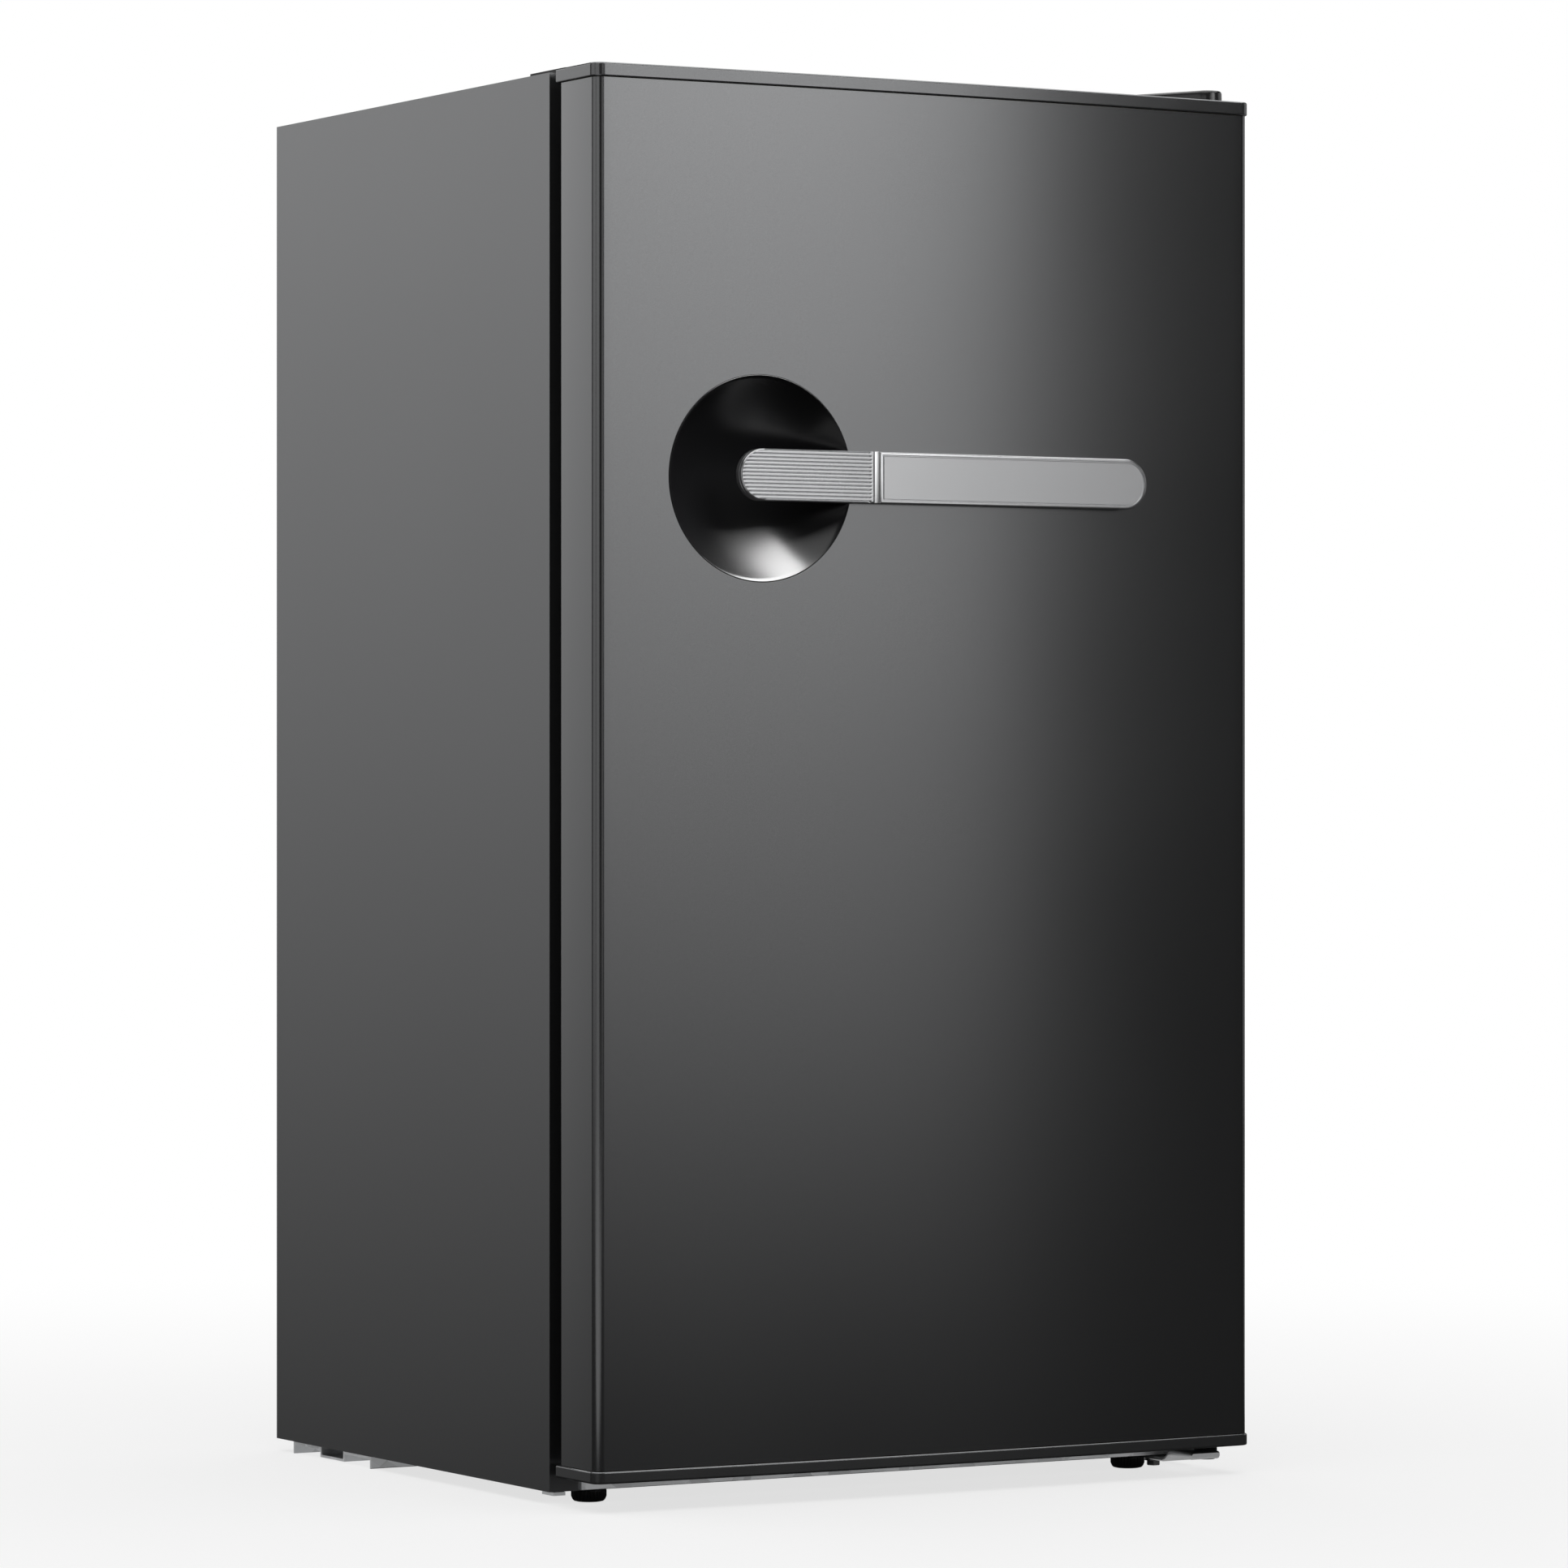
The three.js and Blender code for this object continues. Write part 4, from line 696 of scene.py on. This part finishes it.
def make_top_hinge_cover():
    """Low moulded cover whose round nose stands over the pin."""
    low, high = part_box("top_hinge_cover")
    nose_radius = 9 * MM
    nose = (high.x - nose_radius, low.y + nose_radius)
    shoulder = low.y + 46 * MM

    def outline(inset):
        radius = nose_radius - inset
        start = (low.x + inset, shoulder)
        return ([(low.x + inset, high.y - inset), start] + arc(nose, radius, 193, 360, 24)
                + [(high.x - inset, high.y - inset)])

    steps = [(low.z, 0), (high.z - 1.6 * MM, 0.15 * MM), (high.z - 0.8 * MM, 0.4 * MM),
             (high.z - 0.25 * MM, 0.9 * MM), (high.z, 1.8 * MM)]
    bm = loft([[(x, y, z) for x, y in outline(inset)] for z, inset in steps])
    piece("hinge_cover_moulding", bm, "cabinet", HINGE_BLACK, ["top_hinge_cover"], 40)


def make_bottom_hinge():
    """Cranked steel arm from under the cabinet to the pin, with its bolts and a dark cap on the pin's end."""
    low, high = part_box("bottom_hinge_bracket")
    pin_low, pin_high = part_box("bottom_hinge_pin")
    pin = Vector(((pin_low.x + pin_high.x) / 2, (pin_low.y + pin_high.y) / 2, 0))
    plate_top = low.z + 3 * MM
    crank = CABINET_FRONT - 14 * MM
    path = [(high.y, plate_top - 1.2 * MM, 2.4), (crank + 3 * MM, plate_top - 1.2 * MM, 2.4),
            (crank, plate_top - 0.4 * MM, 2.8), (crank - 4 * MM, high.z - 3 * MM, 4),
            (crank - 7 * MM, high.z - 2.4 * MM, 4.6), (low.y + 1.4 * MM, high.z - 2.4 * MM, 4.6),
            (low.y, high.z - 2.4 * MM, 2.6)]
    left, right = pin.x - 17 * MM, pin.x + 5 * MM
    rings = []
    for i, (y, z, thick) in enumerate(path):
        inset = 1.2 * MM if i == len(path) - 1 else 0
        half = thick / 2 * MM
        section = rounded_rectangle((left + inset, z - half), (right - inset, z + half), 0.42 * thick * MM, 5)
        rings.append([(x, y, h) for x, h in section])
    piece("hinge_arm", loft(rings), "cabinet", HINGE_STEEL, ["bottom_hinge_bracket"], 40)
    bm = bmesh.new()
    for y in (CABINET_FRONT + 6 * MM, CABINET_FRONT + 42 * MM):
        place = (pin.x - 12 * MM, y, 0)
        washer = [(5.5, 2.6), (5.5, 3.2)]
        head = [(4.4, 3.1), (4.4, 5.9), (3.8, 6.3)]
        for profile, sides in ((washer, 24), (head, 6)):
            add_lathe(bm, [(r * MM, plate_top - drop * MM) for r, drop in profile], place, "Z", sides)
    piece("hinge_bolts", bm, "cabinet", ENAMEL)
    bm = bmesh.new()
    add_lathe(bm, [(5.4 * MM, 7.6 * MM), (6.5 * MM, 8.1 * MM), (6.9 * MM, 8.9 * MM), (6.9 * MM, 16.2 * MM),
                   (6.3 * MM, 16.7 * MM), (3 * MM, 16.7 * MM), (3 * MM, pin_high.z - 0.8 * MM),
                   (2.4 * MM, pin_high.z)], pin, "Z", 40)
    piece("hinge_pin_cap", bm, "cabinet", BLACK_PLASTIC, ["bottom_hinge_pin"])


def add_screw(bm, place, axis, facing, radius=3.6 * MM):
    """Domed head with a round recess in its middle; facing is +1 or -1 along its axis."""
    dome = [(radius, 0), (radius, 0.5 * MM), (radius * 0.86, 1.1 * MM), (radius * 0.55, 1.55 * MM),
            (radius * 0.36, 1.65 * MM), (radius * 0.16, 0.7 * MM)]
    add_lathe(bm, [(r, facing * h) for r, h in dome], place, axis, 16)


def make_back_screws():
    """Screws round the edge of the back sheet."""
    low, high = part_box("back_panel")
    bm = bmesh.new()
    border = 10 * MM
    for share in (0, 0.25, 0.5, 0.75, 1):
        for x in (low.x + border, high.x - border):
            add_screw(bm, (x, high.y, low.z + border + share * (high.z - low.z - 2 * border)), "Y", 1)
        if 0 < share < 1:
            for z in (low.z + border, high.z - border):
                add_screw(bm, (low.x + border + share * (high.x - low.x - 2 * border), high.y, z), "Y", 1)
    piece("back_screws", bm, "cabinet", CHROME)


def make_back_beads():
    """Shallow pressed frames that stiffen the back sheet."""
    low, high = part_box("back_panel")
    bm = bmesh.new()
    height, width, side, corner = 1.1 * MM, 9 * MM, 28 * MM, 26 * MM
    middle = (low.z + high.z) / 2
    for z0, z1 in ((low.z + 30 * MM, middle - 14 * MM), (middle + 14 * MM, high.z - 30 * MM)):
        rings = []
        for inset, rise in ((0, 0.02), (0.25, 0.7), (0.5, 1), (0.75, 0.7), (1, 0.02)):
            step = inset * width
            loop = rounded_rectangle((low.x + side + step, z0 + step), (high.x - side - step, z1 - step),
                                     corner - step, 8)
            rings.append([(x, high.y + rise * height, z) for x, z in loop])
        add_loft(bm, rings + [rings[0]], caps=False)
    bmesh.ops.remove_doubles(bm, verts=bm.verts, dist=1e-6)
    piece("back_beads", bm, "cabinet", ZINC)


def make_condenser():
    """One tube folded to and fro, with upright wires on both of its sides."""
    radius, pitch, runs = 2.3 * MM, 46 * MM, 11
    half = coil_high.x - radius
    reach = half - pitch / 2
    middle = (coil_low.y + coil_high.y) / 2
    first = coil_low.z + radius
    points = []
    for run in range(runs):
        side = 1 if run % 2 == 0 else -1
        z = first + run * pitch
        points += [(-side * reach, middle, z), (0, middle, z), (side * reach, middle, z)]
        if run < runs - 1:
            points += [(side * (reach + math.cos(a) * pitch / 2), middle, z + (1 + math.sin(a)) * pitch / 2)
                       for a in [math.pi * (i / 12 - 0.5) for i in range(1, 12)]]
    bm = bmesh.new()
    add_tube(bm, points, radius, 12)
    piece("condenser_tube", bm, "cabinet", ENAMEL, ["condenser_coil"], 60)
    bm = bmesh.new()
    wire, spacing, count = 0.75 * MM, 9.6 * MM, 16
    strap, strap_clearance = 120 * MM, 9 * MM
    for i in range(-count, count + 1):
        x = i * spacing
        if min(abs(x - s) for s in (-strap, strap)) < strap_clearance:
            continue
        for y in (middle - radius - wire * 0.9, middle + radius + wire * 0.9):
            add_tube(bm, [(x, y, first - 9 * MM), (x, y, coil_high.z + 7 * MM)], wire, 8)
    piece("condenser_wires", bm, "cabinet", ENAMEL, angle=60)


def make_compressor_fittings():
    """A washer, a bolt head and the bolt's end on each of the compressor's grommets."""
    bm = bmesh.new()
    for i in range(1, 5):
        low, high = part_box(f"compressor_grommet_{i}")
        place = ((low.x + high.x) / 2, (low.y + high.y) / 2, 0)
        washer = [(8, 0.1), (8, 1.3)]
        head = [(5.6, 1.2), (5.6, 5), (4.9, 5.6)]
        end = [(2.9, 5.4), (2.9, 9), (2.3, 9.6)]
        for profile, sides in ((washer, 24), (head, 6), (end, 16)):
            add_lathe(bm, [(r * MM, high.z + rise * MM) for r, rise in profile], place, "Z", sides)
    piece("compressor_bolts", bm, "cabinet", ZINC)


# ---------------------------------------------------------------- inside the cabinet
def add_digit(bm, digit, place, size, turn):
    """A raised figure on a face that looks towards -X, its top pointing at angle turn from +Y towards +Z."""
    curve = bpy.data.curves.new("digit", "FONT")
    curve.body = digit
    curve.size = size
    curve.extrude = 0.12 * MM
    curve.align_x, curve.align_y = "CENTER", "CENTER"
    obj = bpy.data.objects.new("digit", curve)
    bpy.context.scene.collection.objects.link(obj)
    bpy.context.view_layer.update()
    mesh = bpy.data.meshes.new_from_object(obj.evaluated_get(bpy.context.evaluated_depsgraph_get()))
    up = Vector((0, math.cos(turn), math.sin(turn)))
    outward = Vector((-1, 0, 0))
    across = up.cross(outward)
    rows = Matrix((across, up, outward)).transposed().to_4x4()
    mesh.transform(Matrix.Translation(place) @ rows)
    bm.from_mesh(mesh)
    bpy.data.objects.remove(obj)
    bpy.data.meshes.remove(mesh)
    bpy.data.curves.remove(curve)


def make_dial():
    """Thermostat knob: skirt with figures, fluted hub, finger bar with a dark pointer."""
    low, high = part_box("thermostat_knob")
    y, z = (low.y + high.y) / 2, (low.z + high.z) / 2
    face = high.x - 5.4 * MM
    bm = bmesh.new()
    skirt = [(18, 0), (18, 3.4), (17.6, 4.4), (16.9, 5.1), (14.6, 5.4), (14, 6), (13.7, 11.6), (13.2, 12.4),
             (12.2, 12.7)]
    add_lathe(bm, [(r * MM, -h * MM) for r, h in skirt], (high.x, y, z), "X", 96)
    bar_half, bar_reach = 3 * MM, 12.4 * MM
    add_box(bm, (low.x, y - bar_reach, z - bar_half), (high.x - 12 * MM, y + bar_reach, z + bar_half),
            1.2 * MM, 4)
    for i in range(24):
        a = 2 * math.pi * (i + 0.5) / 24
        flute = [(high.x - depth * MM, y + r * MM * math.cos(a), z + r * MM * math.sin(a))
                 for depth, r in ((6, 13.7), (11.8, 13.5))]
        add_tube(bm, flute, 0.5 * MM, 6)
    piece("dial_knob", bm, "thermostat_knob", WHITE_PLASTIC, ["thermostat_knob"], 30)
    bm = bmesh.new()
    for i in range(7):
        a = math.radians(150 - 40 * i)
        place = (face + 0.05 * MM, y + 16 * MM * math.cos(a), z + 16 * MM * math.sin(a))
        add_digit(bm, str(i + 1), place, 3 * MM, a)
    add_box(bm, (low.x - 0.1 * MM, y - 11.6 * MM, z - 0.5 * MM), (low.x + 0.3 * MM, y - 5 * MM, z + 0.5 * MM))
    piece("dial_figures", bm, "thermostat_knob", BLACK_PLASTIC)
    housing_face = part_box("thermostat_housing")[0].x
    bm = bmesh.new()
    add_lathe(bm, [(1.3 * MM, 0), (1.3 * MM, -0.25 * MM), (0.9 * MM, -0.4 * MM)],
              (housing_face + 0.05 * MM, y, z + 21.5 * MM), "X", 20)
    piece("dial_index", bm, "cabinet", BLACK_PLASTIC)


def make_evaporator_channels():
    """Refrigerant channels blown into the ice box floor, one line folded across it."""
    low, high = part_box("evaporator")
    radius, rows, edge = 2.1 * MM, 8, 16 * MM
    floor = low.z + 2 * MM
    left, right = low.x + edge, high.x - edge
    front, pitch = low.y + 14 * MM, (high.y - low.y - 2 * edge) / (rows - 1)
    points = []
    for row in range(rows):
        side = 1 if row % 2 == 0 else -1
        y = front + row * pitch
        ends = (left + pitch / 2, right - pitch / 2)
        points += [(ends[0] if side > 0 else ends[1], y, floor), (ends[1] if side > 0 else ends[0], y, floor)]
        if row < rows - 1:
            corner = ends[1] if side > 0 else ends[0]
            points += [(corner + side * math.cos(a) * pitch / 2, y + (1 + math.sin(a)) * pitch / 2, floor)
                       for a in [math.pi * (i / 10 - 0.5) for i in range(1, 10)]]
    bm = bmesh.new()
    add_tube(bm, points, radius, 10)
    piece("evaporator_channels", bm, "cabinet", EVAPORATOR, angle=60)


def make_flap_frame():
    """Raised frame moulded round the ice flap's face."""
    low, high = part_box("ice_flap")
    face, width, rise = high.y - 6 * MM, 3 * MM, 0.8 * MM
    rings = []
    for inset, height in ((0, -0.1), (0.3, 0.8), (0.5, 1), (0.7, 0.8), (1, -0.1)):
        loop = rounded_rectangle((low.x + 9 * MM + inset * width, low.z + 9 * MM + inset * width),
                                 (high.x - 9 * MM - inset * width, high.z - 19 * MM - inset * width),
                                 8 * MM - inset * width, 6)
        rings.append([(x, face - height * rise, z) for x, z in loop])
    bm = bmesh.new()
    add_loft(bm, rings + [rings[0]], caps=False)
    bmesh.ops.remove_doubles(bm, verts=bm.verts, dist=1e-6)
    piece("flap_frame", bm, "ice_flap", WHITE_PLASTIC)


def make_shelf_stops():
    """White strip on each shelf's rear edge that keeps things off the back wall."""
    for level in ("lower", "upper"):
        low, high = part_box(f"{level}_shelf_glass")
        bm = bmesh.new()
        add_box(bm, (low.x + 6 * MM, high.y - 5 * MM, high.z - 0.2 * MM),
                (high.x - 6 * MM, high.y - 0.5 * MM, high.z + 9 * MM), 1.4 * MM, 4)
        piece(f"{level}_shelf_stop", bm, f"{level}_shelf", WHITE_PLASTIC)


def make_back_wall_ribs():
    """Shallow upright ribs pressed into the liner's back wall, where frost runs down."""
    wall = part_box("upper_shelf_glass")[1].y + 4 * MM
    proud, sunk = wall + 0.1 * MM, wall + 0.9 * MM
    bottom, top, run_out = 205 * MM, 619 * MM, 7 * MM
    spacing, each_side = 32 * MM, 5
    bm = bmesh.new()
    for i in range(-each_side, each_side + 1):
        x = i * spacing
        add_tube(bm, [(x, sunk, bottom), (x, proud, bottom + run_out), (x, proud, top - run_out),
                      (x, sunk, top)], 1.6 * MM, 12)
    piece("back_wall_ribs", bm, "cabinet", LINER_WHITE, angle=60)


def make_all_fittings():
    make_gasket()
    make_dial()
    make_evaporator_channels()
    make_flap_frame()
    make_shelf_stops()
    make_back_wall_ribs()
    for node in ("left_foot", "right_foot"):
        make_foot(node)
    make_top_hinge_cover()
    make_bottom_hinge()
    make_back_screws()
    make_back_beads()
    make_condenser()
    make_compressor_fittings()


make_all_fittings()

# ---------------------------------------------------------------- stage, light and camera
FLOOR_HALF = 9.0
BACKGROUND = (1.0, 1.0, 1.0, 1)
CAMERA_PLACE = Vector((-1.9832, DOOR_CHORD - 3.2494, 0.4136))
CAMERA_TURN = math.radians(-30.1)


def make_floor():
    """Matt white floor with a soft shadow; it fades into the background away from the fridge."""
    bm = bmesh.new()
    bmesh.ops.create_grid(bm, x_segments=8, y_segments=8, size=FLOOR_HALF)
    mesh = bpy.data.meshes.new("floor")
    bm.to_mesh(mesh)
    bm.free()
    floor = bpy.data.objects.new("floor", mesh)
    bpy.context.scene.collection.objects.link(floor)
    s = Shader("pale_floor", (0.3, 0.3, 0.3), 0.8, 0.0, Specular_IOR_Level=0.0,
               Emission_Color=(1, 1, 1, 1), Emission_Strength=0.72)
    s.vary_color(s.noise(2, 2), 0.01)
    far = s.add("ShaderNodeVectorMath", operation="LENGTH")
    s.link(s.place, far.inputs[0])
    fade = s.add("ShaderNodeMapRange", interpolation_type="SMOOTHSTEP")
    fade.inputs["From Min"].default_value = 0.45
    fade.inputs["From Max"].default_value = 1.6
    s.link(far.outputs["Value"], fade.inputs["Value"])
    glow = s.add("ShaderNodeEmission")
    glow.inputs["Color"].default_value = BACKGROUND
    mix = s.add("ShaderNodeMixShader")
    s.link(fade.outputs["Result"], mix.inputs["Fac"])
    s.link(s.bsdf.outputs[0], mix.inputs[1])
    s.link(glow.outputs[0], mix.inputs[2])
    s.link(mix.outputs[0], s.tree.nodes["Material Output"].inputs["Surface"])
    mesh.materials.append(s.material)
    floor.visible_glossy = False
    floor.visible_diffuse = False
    floor.visible_shadow = False


def add_area_light(name, place, target, size, low, high):
    """A rectangular light facing target, its radiance rising evenly from its lower edge to its upper edge."""
    light = bpy.data.lights.new(name, "AREA")
    light.shape = "RECTANGLE"
    light.size, light.size_y = size
    light.energy = math.pi * size[0] * size[1]
    light.use_nodes = True
    tree = light.node_tree
    where = tree.nodes.new("ShaderNodeNewGeometry")
    split = tree.nodes.new("ShaderNodeSeparateXYZ")
    ramp = tree.nodes.new("ShaderNodeMapRange")
    ramp.inputs["To Min"].default_value = low
    ramp.inputs["To Max"].default_value = high
    curve = tree.nodes.new("ShaderNodeMath")
    curve.operation = "POWER"
    curve.inputs[1].default_value = 1.12
    tree.links.new(where.outputs["Parametric"], split.inputs[0])
    tree.links.new(split.outputs["Y"], curve.inputs[0])
    tree.links.new(curve.outputs[0], ramp.inputs["Value"])
    tree.links.new(ramp.outputs["Result"], tree.nodes["Emission"].inputs["Strength"])
    obj = bpy.data.objects.new(name, light)
    bpy.context.scene.collection.objects.link(obj)
    obj.location = place
    obj.rotation_euler = (Vector(target) - Vector(place)).to_track_quat("-Z", "Y").to_euler()
    obj.visible_camera = False
    return obj


def light_only(light, names):
    """Limits a light to the named pieces with light linking; it lights nothing else."""
    receivers = bpy.data.collections.new(light.name + "_receivers")
    for name in names:
        receivers.objects.link(bpy.data.objects[name])
    light.light_linking.receiver_collection = receivers


def add_panel(name, bearing, distance, width, bottom, top, low, high, offset=0.0):
    """An upright panel light. Bearing 0 is before the door, 90 to its right; offset moves it along itself."""
    a = math.radians(bearing)
    out = Vector((math.sin(a), -math.cos(a), 0))
    along = Vector((math.cos(a), math.sin(a), 0))
    middle = distance * out + offset * along + Vector((0, 0, (bottom + top) / 2))
    return add_area_light(name, middle, middle - out, (width, top - bottom), low, high)


INSIDE = ["inner_liner", "door_liner", "evaporator", "evaporator_channels", "ice_frame", "ice_flap",
          "flap_frame", "thermostat_housing", "dial_knob", "lower_shelf_glass", "upper_shelf_glass",
          "lower_shelf_trim", "upper_shelf_trim", "lower_shelf_stop", "upper_shelf_stop", "back_wall_ribs",
          "upper_bin", "middle_bin", "bottle_rack", "drip_tray"]
HANDLE = ["ribbed_grip", "divider_strip", "face_plate", "handle_core", "hinge_cover_moulding"]
UNDERSIDE = ["front_rail", "corner_tab", "compressor_base", "hinge_arm", "hinge_bolts"]


def make_studio_lights():
    """Softboxes that the door and the left side mirror, weaker panels and floor bounce round the rest."""
    softbox_left, softbox_right = 0.95, 2.56
    add_panel("front_softbox", 0, 4.0, softbox_right - softbox_left, -0.35, 2.65, 0.0, 2.05,
              (softbox_left + softbox_right) / 2)
    add_panel("left_softbox", -153, 4.2, 2.6, -0.72, 2.45, 0.0, 1.07)
    for bearing, width in ((-98, 3.2), (-55, 2.8), (84, 2.8), (122, 2.0)):
        add_panel(f"side_panel_{bearing}", bearing, 4.2, width, 0.0, 2.4, 0.2, 0.5)
    bounce = 0.35
    for name, x, y in (("left", (-3.2, -0.5), (-2.5, -0.4)), ("right", (0.5, 3.2), (-0.1, 1.3)),
                       ("rear", (-0.2, 1.2), (0.45, 3.2))):
        middle = Vector(((x[0] + x[1]) / 2, (y[0] + y[1]) / 2, 0.001))
        above = middle + Vector((0, 0, 1))
        add_area_light(f"{name}_bounce", middle, above, (x[1] - x[0], y[1] - y[0]), bounce, bounce)
    add_panel("front_panel", -3, 4.4, 1.1, 0.0, 2.4, 0.15, 0.3)
    add_panel("back_panel_light", 180, 4.4, 1.6, 0.0, 2.4, 0.7, 1.2)
    add_area_light("overhead", (0, 0, 3.0), (0, 0.001, 0), (5, 5), 1.3, 1.3)


def make_accent_lights():
    """Lights that each act only on a few pieces: the dish, the handle, the inside and the underside."""
    dish = Vector((DISH_X, door_face(DISH_X), DISH_Z))
    bowl_light = add_area_light("bowl_light", dish + 3 * Vector((0.41, -0.5, 0.75)), dish, (2.3, 2.7), 19, 22)
    bowl_light.rotation_euler.rotate_axis("Z", math.radians(-10))
    light_only(bowl_light, ["finger_dish"])
    bounce_place = Vector((0.45, DOOR_CHORD - 1.7, 0.002))
    bounce_above = (0.45, DOOR_CHORD - 1.7, 1)
    bowl_bounce = add_area_light("bowl_bounce", bounce_place, bounce_above, (1.2, 1.1), 1.2, 1.2)
    light_only(bowl_bounce, ["finger_dish"])
    handle_light = add_panel("handle_light", 12, 3.2, 1.35, -0.2, 2.2, 0.6, 1.05)
    light_only(handle_light, HANDLE)
    inside_light = add_panel("inside_light", -12, 3.0, 2.2, 0.2, 2.4, 2.6, 3.4)
    light_only(inside_light, INSIDE)
    underside_place = (0.2, -0.6, -0.001)
    underside_light = add_area_light("underside_light", underside_place, (0.2, -0.6, 1), (2.0, 2.2), 0.5, 0.5)
    light_only(underside_light, UNDERSIDE)


def make_world():
    """White to the camera, a dim even dome to everything else."""
    world = bpy.data.worlds.new("studio")
    bpy.context.scene.world = world
    world.use_nodes = True
    tree = world.node_tree
    tree.nodes.clear()
    path = tree.nodes.new("ShaderNodeLightPath")
    seen = tree.nodes.new("ShaderNodeBackground")
    seen.inputs["Color"].default_value = BACKGROUND
    dome = tree.nodes.new("ShaderNodeBackground")
    dome.inputs["Color"].default_value = (0.02, 0.02, 0.02, 1)
    mix = tree.nodes.new("ShaderNodeMixShader")
    tree.links.new(path.outputs["Is Camera Ray"], mix.inputs["Fac"])
    tree.links.new(dome.outputs[0], mix.inputs[1])
    tree.links.new(seen.outputs[0], mix.inputs[2])
    out = tree.nodes.new("ShaderNodeOutputWorld")
    tree.links.new(mix.outputs[0], out.inputs["Surface"])


def make_camera():
    camera = bpy.data.cameras.new("camera")
    camera.lens = 149.9
    camera.sensor_width = 36
    obj = bpy.data.objects.new("camera", camera)
    bpy.context.scene.collection.objects.link(obj)
    obj.location = CAMERA_PLACE
    obj.rotation_euler = (math.pi / 2, 0, CAMERA_TURN)
    bpy.context.scene.camera = obj


make_floor()
make_world()
make_studio_lights()
make_accent_lights()
make_camera()
bpy.context.scene.view_settings.view_transform = "Standard"
